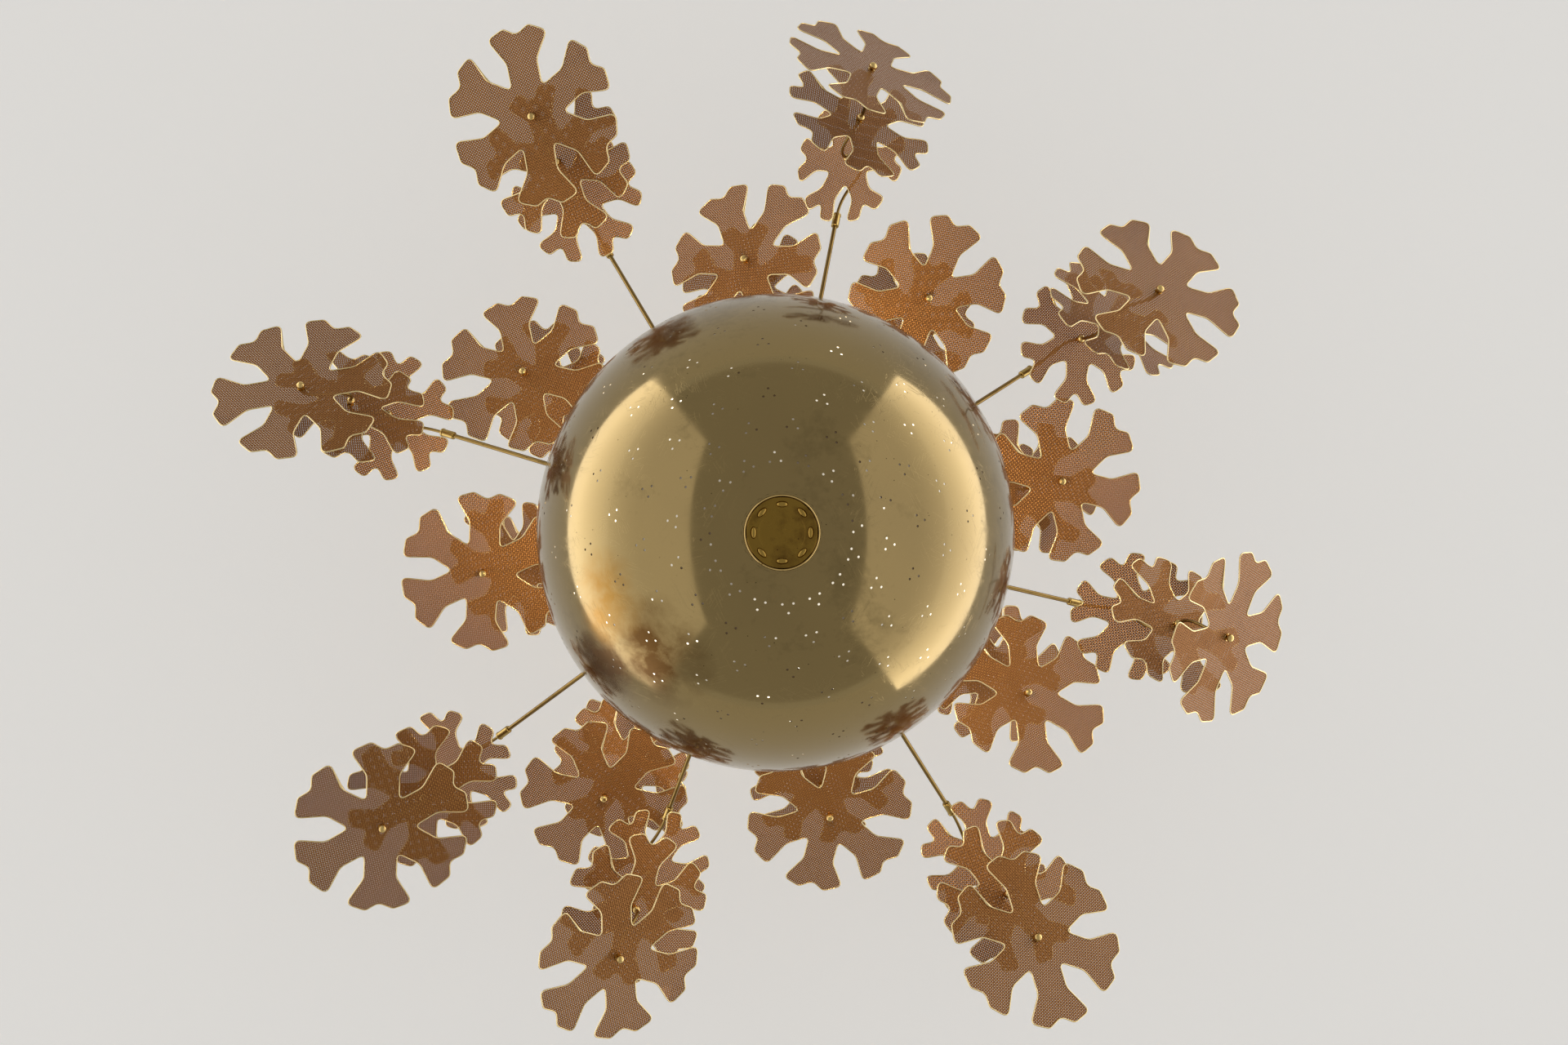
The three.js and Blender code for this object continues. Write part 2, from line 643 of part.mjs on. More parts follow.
// Bowl: half sphere open at the top, with a rolled rim and a flat spot pierced for the tie rod
function bowl() {
  const inner = BOWL_RADIUS - BOWL_WALL;
  const hole = TIE_ROD_RADIUS + FIT_GAP;
  const outerStart = Math.asin(BOWL_SEAT_RADIUS / BOWL_RADIUS);
  const innerSeat = BOWL_SEAT_Z + BOWL_WALL;
  const innerStart = Math.acos(-innerSeat / inner);
  const profile = [[hole, BOWL_SEAT_Z]];
  for (let i = 0; i < BOWL_BEND_STEPS; i++) {
    const a = outerStart + (Math.PI / 2 - outerStart) * (i / BOWL_BEND_STEPS);
    profile.push([BOWL_RADIUS * Math.sin(a), -BOWL_RADIUS * Math.cos(a)]);
  }
  for (const a of BOWL_BEAD_ANGLES) {
    profile.push([
      BOWL_RADIUS - BOWL_BEAD_RADIUS + BOWL_BEAD_RADIUS * Math.cos(rad(a)),
      BOWL_BEAD_RADIUS * Math.sin(rad(a)) - BOWL_BEAD_RADIUS,
    ]);
  }
  for (let i = BOWL_BEND_STEPS - 1; i >= 0; i--) {
    const a = innerStart + (Math.PI / 2 - innerStart) * (i / BOWL_BEND_STEPS);
    profile.push([inner * Math.sin(a), -inner * Math.cos(a)]);
  }
  profile.push([hole, innerSeat]);
  profile.push([hole, BOWL_SEAT_Z]);
  const made = mesh("bowl", turned(profile, BOWL_SIDES), BOWL_BRASS);
  made.position.set(0, 0, -RIM_DROP);
  return made;
}

// Cap: a round nut under the bowl, hollowed below inside a thin rim, with a ring of oval bosses
function bottomCap() {
  const top = BOWL_SEAT_Z - FIT_GAP;
  const low = top - CAP_THICK;
  const floor = low + CAP_RECESS;
  const bore = TIE_ROD_RADIUS + FIT_GAP;
  const boreTop = BOWL_SEAT_Z - TIE_ROD_REACH - FIT_GAP;
  const body = turned(
    [
      [0, floor],
      [CAP_RADIUS - CAP_RIM - CAP_EDGE, floor],
      [CAP_RADIUS - CAP_RIM, low],
      [CAP_RADIUS - CAP_EDGE / 2, low],
      [CAP_RADIUS, low + CAP_EDGE],
      [CAP_RADIUS, top],
      [bore, top],
      [bore, boreTop],
      [0, boreTop],
    ],
    CAP_SIDES,
  );
  const pieces = [body];
  for (let i = 0; i < CAP_BOSS_COUNT; i++) {
    const boss = new THREE.SphereGeometry(1, 7, 4);
    boss.scale(CAP_BOSS_WIDTH / 2, CAP_BOSS_LENGTH / 2, CAP_BOSS_WIDTH / 2);
    boss.translate(CAP_BOSS_REACH, 0, floor);
    boss.rotateZ((2 * Math.PI * i) / CAP_BOSS_COUNT);
    pieces.push(boss);
  }
  const made = mesh("bottom_cap", geometryOf(joined(pieces)), CAP_BRASS);
  made.position.set(0, 0, -RIM_DROP);
  return made;
}

const chandelier = new THREE.Group();
chandelier.name = "chandelier";
chandelier.add(ceilingPlate());
chandelier.add(hookLink());
chandelier.add(stem());
chandelier.add(canopy());
chandelier.add(branchSet("long_branches", LONG_BRANCHES, LONG_TIER, LONG_HUB_RISE));
chandelier.add(branchSet("short_branches", SHORT_BRANCHES, SHORT_TIER, SHORT_HUB_RISE));
chandelier.add(flakesOf("long", LONG_BRANCHES, LONG_TIER));
chandelier.add(flakesOf("short", SHORT_BRANCHES, SHORT_TIER));
chandelier.add(lampBody());
chandelier.add(bulbs());
chandelier.add(bowl());
chandelier.add(bottomCap());

export default chandelier;
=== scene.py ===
import json
import math
import random

import bpy
import numpy as np
from mathutils import Matrix, Vector
from mathutils.geometry import delaunay_2d_cdt

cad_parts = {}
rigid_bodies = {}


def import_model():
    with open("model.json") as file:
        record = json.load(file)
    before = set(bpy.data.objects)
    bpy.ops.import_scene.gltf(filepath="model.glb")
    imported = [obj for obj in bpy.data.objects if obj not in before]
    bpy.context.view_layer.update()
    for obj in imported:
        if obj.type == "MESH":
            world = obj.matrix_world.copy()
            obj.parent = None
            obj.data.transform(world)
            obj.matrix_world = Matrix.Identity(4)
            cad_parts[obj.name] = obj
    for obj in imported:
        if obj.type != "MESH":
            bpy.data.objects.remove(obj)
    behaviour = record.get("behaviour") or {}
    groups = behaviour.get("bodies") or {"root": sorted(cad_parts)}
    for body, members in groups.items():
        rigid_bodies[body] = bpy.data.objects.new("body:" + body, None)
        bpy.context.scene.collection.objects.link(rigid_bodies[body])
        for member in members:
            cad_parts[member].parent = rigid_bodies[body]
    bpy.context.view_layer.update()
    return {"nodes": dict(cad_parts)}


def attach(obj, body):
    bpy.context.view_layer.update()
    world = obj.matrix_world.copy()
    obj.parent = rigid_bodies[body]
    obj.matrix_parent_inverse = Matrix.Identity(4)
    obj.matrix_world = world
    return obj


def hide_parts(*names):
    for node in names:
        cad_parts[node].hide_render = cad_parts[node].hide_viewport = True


# Chandelier: a pierced brass bowl round three bulbs, and sixteen branches of wire-cloth flakes.
# Sizes are in millimetres and angles in degrees, unless a note says otherwise.
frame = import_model()
scene = bpy.context.scene
MM = 0.001

# Camera, as the photograph was taken: from below, looking almost straight up. Metres.
CAMERA_PLACE = Vector((0.0478, 0.0015, -2.6794))
CAMERA_AHEAD = Vector((-0.02743, 0.00343, 0.99962))
CAMERA_UP = Vector((0.0, 1.0, -0.00343))
CAMERA_LENS = 54.66
CAMERA_SENSOR = 36.0
CAMERA_SEES = 120.0

# Room round the lamp, in metres. A ray that starts closer than BACKDROP_CLEAR passes a backdrop.
FLOOR_HEIGHT = -2.95
CEILING_HEIGHT = 0.0006
ROOM_HALF = 40.0
BACKDROP_CLEAR = 0.01
BACKDROP_DRIFT = 0.985
FLOOR_GLOW = 0.14
CEILING_GLOW = 0.3

# Soft boxes left and right of the lamp, in metres: dim at the foot, bright at the head
SOFT_BOX_REACH = 1.6
SOFT_BOX_LOW = -2.6
SOFT_BOX_HIGH = -0.05
SOFT_BOX_LENGTH = 4.1
SOFT_BOX_FOOT = 1.1
SOFT_BOX_HEAD = 0.25
SOFT_BOX_EASE = 1.9
SOFT_BOX_DIM = 0.6
SOFT_BOX_BRIGHT = 2.65
SOFT_BOX_TINT = (1.0, 0.98, 1.0)

# The world's light and the bulbs' light
WORLD_GREY = (0.9, 0.9, 0.9, 1.0)
WORLD_LIGHT = 0.58
WORLD_SEEN = 0.75
LAMPLIGHT_WATTS = 3.6
LAMPLIGHT_SPREAD = 155
BOWL_LIGHT_WATTS = 0.16
BULB_TINT = (1.0, 0.8, 0.54)
BULB_LIGHT_RADIUS = 0.02

# Sizes that the looks share with the solids
RIM_HEIGHT = -680.0
BODY_HEIGHT = RIM_HEIGHT - 140
ROD_RADIUS = 2.0
WIRE_RADIUS = 1.5
ROD_START = 16.8
WIRE_PULL = 18.0
WIRE_SEAT_DEPTH = 2.0
FIRST_WIRE_PULL_SHARE = 0.75
FLAKE_THICK = 1.0
FIT_GAP = 0.3
COLLAR_LOW = FLAKE_THICK / 2 + FIT_GAP
COLLAR_HEIGHT = 4.0
NUT_TOP = -FLAKE_THICK / 2 - FIT_GAP
NUT_HEIGHT = 6.6
NUT_RADIUS = 3.8

# Flakes: half an arm's corners as (along, across), and how deep the gap between two arms reaches
FLAKE_SIZES = {
    "small": {"neck": (38, 10), "lobe": (56, 23), "tip": (61, 9), "notch": 48, "gap": 24},
    "medium": {"neck": (42, 11.5), "lobe": (63, 26), "tip": (69, 10.5), "notch": 57, "gap": 26.5},
    "large": {"neck": (48, 14), "lobe": (71, 29), "tip": (78, 12), "notch": 71, "gap": 29},
}
ARMS = 6
ARM_ANGLE = 360 // ARMS
NECK_EASE = 14.0
LOBE_EASE = 5.5
NOTCH_EASE = 8.0
GAP_EASE = 4.0
GAP_TRIM = 0.6
HAND_CUT = 0.7
RIM_WIRE_RADIUS = 0.6
RIM_JOINT_AT = 30
RIM_JOINT_SWELL = (1.9, 2.3, 1.7)
FLAKE_DISH = (-1.2, 1.6)
FLAKE_TWIST = (-1.4, 1.4)
ARM_BEND = (-1.0, 1.0)
CLOTH_GRID = 9.0
CLOTH_EDGE_CLEAR = 0.45 * CLOTH_GRID
CLOTH_UV_SIZE = 100.0
CLOTH_PITCH = 1.9
CLOTH_THREAD = 1.33

# Branch tiers: hub height, and the ferrule's and flakes' places as (reach, rise above the rim)
TIERS = {
    "long": {
        "hub": 50, "ferrule": (306, 235), "small": (354, 205), "medium": (381, 150),
        "large": (417, 95),
    },
    "short": {
        "hub": 108, "ferrule": (150, 388), "small": (224, 345), "medium": (251, 297),
        "large": (276, 248),
    },
}
BRANCHES = 8

# Bowl, and its holes: rings of triads, whose first hole turns by one phase or the other
BOWL_RADIUS = 200.0
BOWL_WALL = 1.4
SKIN_DEPTH = 0.5
SEAT_RADIUS = 31.0
BOLT_BORE = 4.3
HOLE_RINGS = 9
HOLE_FIRST_RING = 16.5
HOLE_RING_STEP = 8.0
HOLE_TRIADS = 16
HOLE_TRIAD_SIDE = 8.5
HOLE_RADIUS = 1.0
HOLE_CLEAR = 2.0
HOLE_SIDES = 10
HOLE_PHASES = (17.5, 6.0)


# Points and faces of simple forms

def ring_point(radius, angle, height):
    """The point of a level ring at an angle in radians."""
    return Vector((radius * math.cos(angle), radius * math.sin(angle), height))


def turned(profile, sides, closed=False):
    """A form turned about Z from (radius, height) points that run up its outside."""
    points = []
    rows = []
    for radius, height in profile:
        start = len(points)
        if radius < 1e-6:
            points.append(Vector((0, 0, height)))
        else:
            points += [ring_point(radius, 2 * math.pi * i / sides, height) for i in range(sides)]
        rows.append(range(start, len(points)))
    pairs = list(zip(rows, rows[1:]))
    if closed:
        pairs.append((rows[-1], rows[0]))
    faces = []
    for low, high in pairs:
        for i in range(sides):
            j = (i + 1) % sides
            ring = [
                low[i % len(low)], low[j % len(low)], high[j % len(high)], high[i % len(high)]
            ]
            face = list(dict.fromkeys(ring))
            if len(face) > 2:
                faces.append(face)
    return points, faces


def rounded(corners, radius, steps=3, loop=False):
    """An outline with its corners rounded. A corner may give its own radius as a third number."""
    nearly_straight = math.radians(176)
    most_of_side = 0.48
    made = []
    count = len(corners)
    for i, corner in enumerate(corners):
        here = Vector(corner[:2])
        size = corner[2] if len(corner) > 2 else radius
        if size == 0 or (not loop and i in (0, count - 1)):
            made.append(here)
            continue
        back = Vector(corners[i - 1][:2]) - here
        ahead = Vector(corners[(i + 1) % count][:2]) - here
        opening = back.angle(ahead)
        if opening > nearly_straight:
            made.append(here)
            continue
        reach = size / math.tan(opening / 2)
        reach = min(reach, most_of_side * back.length, most_of_side * ahead.length)
        start = here + back.normalized() * reach
        end = here + ahead.normalized() * reach
        for s in range(steps + 1):
            t = s / steps
            made.append(start * (1 - t) ** 2 + here * (2 * t * (1 - t)) + end * t * t)
    return made


def swept(path, radius, sides, closed=False, up=None):
    """A round wire along a path. The radius is one size, or one for each point."""
    count = len(path)
    sizes = radius if isinstance(radius, list) else [radius] * count
    points = []
    side = None
    for i, here in enumerate(path):
        before = path[i - 1] if closed or i > 0 else here
        after = path[(i + 1) % count] if closed or i < count - 1 else here
        heading = (after - before).normalized()
        if up is not None:
            side = heading.cross(up).normalized()
        elif side is None:
            side = heading.orthogonal().normalized()
        else:
            side = (side - heading * side.dot(heading)).normalized()
        over = side.cross(heading)
        for s in range(sides):
            a = 2 * math.pi * s / sides
            points.append(here + (side * math.cos(a) + over * math.sin(a)) * sizes[i])
    faces = []
    for i in range(count if closed else count - 1):
        row = i * sides
        following = ((i + 1) % count) * sides
        for s in range(sides):
            t = (s + 1) % sides
            faces.append([row + s, following + s, following + t, row + t])
    if not closed:
        faces.append(list(range(sides)))
        faces.append([(count - 1) * sides + s for s in reversed(range(sides))])
    return points, faces


def arc(centre, radius, across, start, end, steps):
    """Points of an upright arc. The angle is counted from the sideways direction up to Z."""
    made = []
    for i in range(steps + 1):
        a = math.radians(start + (end - start) * i / steps)
        made.append(
            centre + across * (radius * math.cos(a)) + Vector((0, 0, radius * math.sin(a)))
        )
    return made


def bezier(start, start_pull, end_pull, end, steps):
    """Points of a curve that leaves its start and reaches its end along two pulls."""
    made = []
    for i in range(steps + 1):
        t = i / steps
        u = 1 - t
        made.append(
            start * u**3 + start_pull * (3 * u * u * t) + end_pull * (3 * u * t * t) + end * t**3
        )
    return made


def lifted(height):
    """Carries what is drawn at Z zero to a height."""
    return Matrix.Translation((0, 0, height))


class Piece:
    """One separate piece of the lamp, gathered form by form in millimetres."""

    def __init__(self, name, *finishes):
        self.name = name
        self.finishes = finishes
        self.points = []
        self.faces = []
        self.finish_of = []

    def add(self, form, finish=0, place=None):
        """Adds a form's points and faces, in one of the piece's finishes."""
        points, faces = form
        start = len(self.points)
        if place is not None:
            points = [place @ p for p in points]
        self.points += points
        self.faces += [[start + i for i in face] for face in faces]
        self.finish_of += [finish] * len(faces)

    def turn(self, profile, sides, ease, steps=3, finish=0, place=None, closed=False):
        """Adds a turned form whose profile has its corners eased."""
        self.add(turned(rounded(profile, ease, steps), sides, closed), finish, place)

    def make(self, body, replaces=(), sharp=38):
        """Makes the object, in metres, and sets it on its body."""
        data = bpy.data.meshes.new(self.name)
        data.from_pydata([p * MM for p in self.points], [], self.faces)
        for finish in self.finishes:
            data.materials.append(finish)
        data.polygons.foreach_set("material_index", self.finish_of)
        data.shade_smooth()
        data.set_sharp_from_angle(angle=math.radians(sharp))
        data.validate()
        made = bpy.data.objects.new(self.name, data)
        scene.collection.objects.link(made)
        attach(made, body)
        if replaces:
            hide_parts(*replaces)
        return made


# Camera

def photo_camera():
    """The camera at the photograph's place, with its lens."""
    data = bpy.data.cameras.new("photo_camera")
    data.lens = CAMERA_LENS
    data.sensor_width = CAMERA_SENSOR
    data.clip_end = CAMERA_SEES
    camera = bpy.data.objects.new("photo_camera", data)
    right = CAMERA_AHEAD.cross(CAMERA_UP).normalized()
    up = right.cross(CAMERA_AHEAD).normalized()
    turn = Matrix((right, up, -CAMERA_AHEAD.normalized())).transposed().to_4x4()
    camera.matrix_world = Matrix.Translation(CAMERA_PLACE) @ turn
    scene.collection.objects.link(camera)
    scene.camera = camera


# Shader nodes

def give(tree, socket, value):
    """Sets a socket to a number or a colour, or links it to another socket."""
    if isinstance(value, bpy.types.NodeSocket):
        tree.links.new(value, socket)
    else:
        socket.default_value = value


def node_of(tree, kind, inputs=(), **settings):
    """A node with its settings, and with its inputs given as {socket: value}."""
    made = tree.nodes.new(kind)
    for key, value in settings.items():
        setattr(made, key, value)
    for key, value in dict(inputs).items():
        give(tree, made.inputs[key], value)
    return made


def maths(kind):
    """A function that adds one kind of Math node, fed by sockets or numbers."""
    def made(tree, *values, clamp=False):
        inputs = dict(enumerate(values))
        return node_of(tree, "ShaderNodeMath", inputs, operation=kind, use_clamp=clamp).outputs[0]

    return made


plus, minus, times, divided = map(maths, ("ADD", "SUBTRACT", "MULTIPLY", "DIVIDE"))
times_plus, power, root, size_of = map(maths, ("MULTIPLY_ADD", "POWER", "SQRT", "ABSOLUTE"))
most, above, below = map(maths, ("MAXIMUM", "GREATER_THAN", "LESS_THAN"))
fraction, cosine = map(maths, ("FRACT", "COSINE"))


def ranged(tree, value, from_low, from_high, to_low=0.0, to_high=1.0):
    """A value carried from one range to another, and kept inside it."""
    inputs = {"Value": value, "From Min": from_low, "From Max": from_high}
    inputs.update({"To Min": to_low, "To Max": to_high})
    return node_of(tree, "ShaderNodeMapRange", inputs, clamp=True).outputs["Result"]


def noise(tree, vector, scale, detail=3.0, roughness=0.5, distortion=0.0):
    """A cloudy noise, about 0.5."""
    inputs = {"Vector": vector, "Scale": scale, "Detail": detail}
    inputs.update({"Roughness": roughness, "Distortion": distortion})
    return node_of(tree, "ShaderNodeTexNoise", inputs).outputs["Fac"]


def scattered(tree, vector, scale):
    """A chance for each cell of a scattered pattern, and the distance from the cell's middle."""
    cells = node_of(tree, "ShaderNodeTexVoronoi", {"Vector": vector, "Scale": scale}, feature="F1")
    chance = node_of(tree, "ShaderNodeSeparateColor", {"Color": cells.outputs["Color"]})
    return chance.outputs[0], cells.outputs["Distance"]


def split(tree, vector):
    """The X, Y and Z of a vector."""
    return node_of(tree, "ShaderNodeSeparateXYZ", {"Vector": vector}).outputs


def blended(tree, share, first, second):
    """A colour between two, by a socket. Colours are sockets or tuples."""
    inputs = {"Factor": share, 6: first, 7: second}
    return node_of(tree, "ShaderNodeMix", inputs, data_type="RGBA").outputs[2]


def stretched(tree, vector, turn, stretch):
    """Coordinates turned first and then stretched, so that each turn gives its own direction."""
    inputs = {"Vector": vector, "Rotation": turn, "Scale": [1 / s for s in stretch]}
    return node_of(tree, "ShaderNodeMapping", inputs, vector_type="TEXTURE").outputs["Vector"]


def new_group(name, inputs, *outputs):
    """A shader node group: {socket: default} in, with None for a vector, and values out."""
    group = bpy.data.node_groups.new(name, "ShaderNodeTree")
    for socket, default in inputs.items():
        kind = "NodeSocketVector" if default is None else "NodeSocketFloat"
        made = group.interface.new_socket(socket, in_out="INPUT", socket_type=kind)
        if default is not None:
            made.default_value = default
    for socket in outputs:
        group.interface.new_socket(socket, in_out="OUTPUT", socket_type="NodeSocketFloat")
    given = group.nodes.new("NodeGroupInput").outputs
    return group, given, group.nodes.new("NodeGroupOutput").inputs


# Effects that several finishes share

def scratches_group():
    """Fine straight scratches in several directions, 1 on a scratch."""
    turns = ((0.1, 0.2, 0.5), (0.2, -0.1, 2.0), (-0.3, 0.2, 1.2), (0.3, 0.1, 2.7))
    long_and_thin = (18.0, 0.5, 4.0)
    patchy = (2.0, 1.3, 1.6)
    half_width = 0.008
    patch_size, patch_low, patch_gain = 30.0, 0.72, 0.4
    group, given, result = new_group(
        "fine_scratches", {"Vector": None, "Scale": 60.0, "Share": 0.3}, "Mask"
    )
    total = 0.0
    for turn in turns:
        laid = stretched(group, given["Vector"], turn, long_and_thin)
        lines = noise(group, laid, given["Scale"], detail=1.0)
        thin = ranged(group, size_of(group, minus(group, lines, 0.5)), half_width, 0.0)
        spread = stretched(group, given["Vector"], turn, patchy)
        patch = noise(group, spread, patch_size, detail=1.0)
        low = minus(group, patch_low, times(group, given["Share"], patch_gain))
        total = most(group, total, times(group, thin, above(group, patch, low)))
    group.links.new(total, result["Mask"])
    return group


def tarnish_group():
    """Cloudy patches of tarnish with soft edges, 1 where it is thickest."""
    fine_size, cloud_share, fine_share = 160.0, 0.8, 0.2
    sparse, gain, edge_softness = 0.78, 0.5, 4.0
    group, given, result = new_group(
        "tarnish", {"Vector": None, "Scale": 9.0, "Amount": 0.5}, "Mask"
    )
    cloud = noise(group, given["Vector"], given["Scale"], 5.0, 0.6, 0.3)
    fine = noise(group, given["Vector"], fine_size, 3.0, 0.6)
    both = plus(group, times(group, cloud, cloud_share), times(group, fine, fine_share))
    low = minus(group, sparse, times(group, given["Amount"], gain))
    patches = times(group, minus(group, both, low), edge_softness, clamp=True)
    group.links.new(patches, result["Mask"])
    return group


def pits_group():
    """Small round pits and specks, 1 in a pit."""
    common = 0.8
    group, given, result = new_group("pits", {"Vector": None, "Scale": 90.0, "Size": 0.16}, "Mask")
    chance, away = scattered(group, given["Vector"], given["Scale"])
    near = below(group, away, given["Size"])
    group.links.new(times(group, near, above(group, chance, common)), result["Mask"])
    return group


def turning_marks_group():
    """The lathe's fine rings round Z, as a height."""
    group, given, result = new_group("turning_marks", {"Vector": None, "Scale": 900.0}, "Height")
    x, y, z = split(group, given["Vector"])
    reach = root(group, plus(group, times(group, x, x), times(group, y, y)))
    join = node_of(group, "ShaderNodeCombineXYZ", {"X": reach, "Y": z})
    rings = noise(group, join.outputs["Vector"], given["Scale"], detail=2.0, roughness=0.7)
    group.links.new(rings, result["Height"])
    return group


def weave_group():
    """Plain-woven wire cloth: 1 on a thread, the threads' height, and which way a thread runs."""
    level, crimp, edge = 0.6, 0.4, 0.02
    group, given, result = new_group(
        "wire_weave", {"Vector": None, "Pitch": 1.9, "Thread": 1.1}, "Mask", "Height", "Warp"
    )
    half = divided(group, times(group, given["Thread"], 0.5), given["Pitch"])
    profiles = []
    waves = []
    for across in split(group, given["Vector"])[:2]:
        cell = divided(group, across, given["Pitch"])
        off = size_of(group, minus(group, fraction(group, cell), 0.5))
        share = divided(group, off, half, clamp=True)
        profiles.append(root(group, minus(group, 1.0, power(group, share, 2.0))))
        waves.append(cosine(group, times(group, minus(group, cell, 0.5), math.pi)))
    over = times(group, *waves)
    first = times(group, profiles[0], times_plus(group, over, crimp, level))
    second = times(group, profiles[1], times_plus(group, over, -crimp, level))
    group.links.new(most(group, first, second), result["Height"])
    group.links.new(above(group, most(group, *profiles), edge), result["Mask"])
    group.links.new(above(group, first, second), result["Warp"])
    return group


SCRATCHES = scratches_group()
TARNISH = tarnish_group()
PITS = pits_group()
TURNING = turning_marks_group()
WEAVE = weave_group()


# Finishes

def colour(red, green, blue):
    """A colour written as it looks, 0 to 255, in the linear values that the shaders take."""
    made = []
    for value in (red, green, blue):
        share = value / 255
        made.append(share / 12.92 if share <= 0.04045 else ((share + 0.055) / 1.055) ** 2.4)
    return (*made, 1.0)


class Finish:
    """A material under construction: its tree, its shader and its coordinates."""

    def __init__(self, name):
        self.material = bpy.data.materials.new(name)
        self.material.use_nodes = True
        self.tree = self.material.node_tree
        self.shader = self.tree.nodes["Principled BSDF"]
        self.place = node_of(self.tree, "ShaderNodeTexCoord").outputs["Object"]

    def constant(self, **inputs):
        """Sets what is the same all over, on the shader's own sockets."""
        for key, value in inputs.items():
            self.shader.inputs[key.replace("_", " ")].default_value = value

    def group(self, group, vector=None, **inputs):
        """Places a shared effect, and returns what it puts out."""
        inputs["Vector"] = vector or self.place
        return node_of(self.tree, "ShaderNodeGroup", inputs, node_tree=group).outputs

    def feed(self, socket, value):
        """Links what changes over the surface to the shader."""
        self.tree.links.new(value, self.shader.inputs[socket])

    def bump(self, height, distance, strength):
        """Raises the surface by a height, at most by a distance in metres."""
        inputs = {"Height": height, "Distance": distance, "Strength": strength}
        made = node_of(self.tree, "ShaderNodeBump", inputs)
        self.feed("Normal", made.outputs["Normal"])


# How deep the fine marks go, in metres
SCRATCH_DEPTH = 0.00004
GRAIN_DEPTH = 0.00003
THREAD_DEPTH = 0.0005


def near_mask(finish, place, size):
    """1 round a place in metres, falling to 0 at the given distance."""
    full_share = 0.15
    away = node_of(
        finish.tree, "ShaderNodeVectorMath", {0: finish.place, 1: place}, operation="DISTANCE"
    )
    return ranged(finish.tree, away.outputs["Value"], size, size * full_share)


def slow_drift(finish, scale, distortion):
    """A broad cloudy share from 0 to 1, for a colour that drifts over a piece."""
    cloud = noise(finish.tree, finish.place, scale, distortion=distortion)
    return ranged(finish.tree, cloud, 0.35, 0.65)


def worn_brass(name, clean, dulled, scale, amount, smooth, rough, turning=0.0):
    """Brass with cloudy tarnish, fine scratches and pits, and perhaps the lathe's rings."""
    scratch_dulls = 0.14
    made = Finish(name)
    tree = made.tree
    tarnish = made.group(TARNISH, Scale=scale, Amount=amount)["Mask"]
    scratch = made.group(SCRATCHES, Scale=30.0, Share=0.15)["Mask"]
    pits = made.group(PITS, Scale=260.0, Size=0.14)["Mask"]
    made.feed("Base Color", blended(tree, most(tree, tarnish, pits), clean, dulled))
    base = ranged(tree, tarnish, 0.0, 1.0, smooth, rough)
    made.feed("Roughness", times_plus(tree, scratch, scratch_dulls, base, clamp=True))
    made.constant(Metallic=1.0)
    dents = times(tree, most(tree, scratch, pits), -1.0)
    if turning:
        rings = made.group(TURNING, Scale=1400.0)["Height"]
        dents = times_plus(tree, rings, turning, dents)
    made.bump(dents, SCRATCH_DEPTH, 0.6)
    return made.material


# Stains on the bowl that the photograph shows, as places on it in metres and their sizes
AMBER_STAINS = (((0.135, -0.048, -0.820), 0.044), ((0.142, -0.066, -0.804), 0.034))
UMBER_STAINS = (((0.099, -0.094, -0.826), 0.064), ((0.136, -0.104, -0.783), 0.048))


def stain_mask(finish, stains, ragged):
    """Where a set of stains lies, its edges broken up by a noise."""
    broken_gain, broken_loss = 2.6, -0.6
    faint, full = 0.1, 0.8
    tree = finish.tree
    total = 0.0
    for place, size in stains:
        total = most(tree, total, near_mask(finish, place, size))
    uneven = times(tree, total, times_plus(tree, ragged, broken_gain, broken_loss))
    return ranged(tree, uneven, faint, full)


def bowl_brass():
    """Aged polished brass: olive gold, stains in amber and umber, dull clouds, scratches, pits."""
    olive_gold, olive_dim = colour(144, 124, 81), colour(131, 113, 76)
    cloud, pit = colour(96, 82, 51), colour(78, 64, 36)
    umber_stain, amber_stain = colour(88, 62, 28), colour(134, 101, 46)
    polished, dull, wiped_dulls, scratch_dulls = 0.08, 0.27, 0.06, 0.1
    clean_coat, worn_coat = 0.08, 0.02
    wiping_turn, wiping_stretch = (0.0, 0.0, 0.2), (0.4, 2.2, 1.0)
    made = Finish("aged_polished_brass")
    tree = made.tree
    clouds = made.group(TARNISH, Scale=9.0, Amount=0.46)["Mask"]
    scratch = made.group(SCRATCHES, Scale=16.0, Share=0.3)["Mask"]
    pits = made.group(PITS, Scale=150.0, Size=0.07)["Mask"]
    ragged = noise(tree, made.place, 34.0, detail=5.0, roughness=0.6, distortion=0.2)
    amber = stain_mask(made, AMBER_STAINS, ragged)
    umber = stain_mask(made, UMBER_STAINS, ragged)
    clean = blended(tree, slow_drift(made, 3.2, 0.3), olive_gold, olive_dim)
    dulled = blended(tree, clouds, clean, cloud)
    stained = blended(tree, amber, blended(tree, umber, dulled, umber_stain), amber_stain)
    made.feed("Base Color", blended(tree, pits, stained, pit))
    worn = most(tree, clouds, umber)
    base = ranged(tree, worn, 0.0, 1.0, polished, dull)
    wiping = stretched(tree, made.place, wiping_turn, wiping_stretch)
    smear = noise(tree, wiping, 42.0, detail=4.0, roughness=0.6)
    base = plus(tree, base, ranged(tree, smear, 0.35, 0.7, 0.0, wiped_dulls))
    made.feed("Roughness", times_plus(tree, scratch, scratch_dulls, base, clamp=True))
    made.constant(Metallic=1.0, Coat_Roughness=0.1)
    made.feed("Coat Weight", ranged(tree, worn, 0.0, 1.0, clean_coat, worn_coat))
    made.bump(times(tree, most(tree, scratch, pits), -1.0), SCRATCH_DEPTH, 0.5)
    return made.material


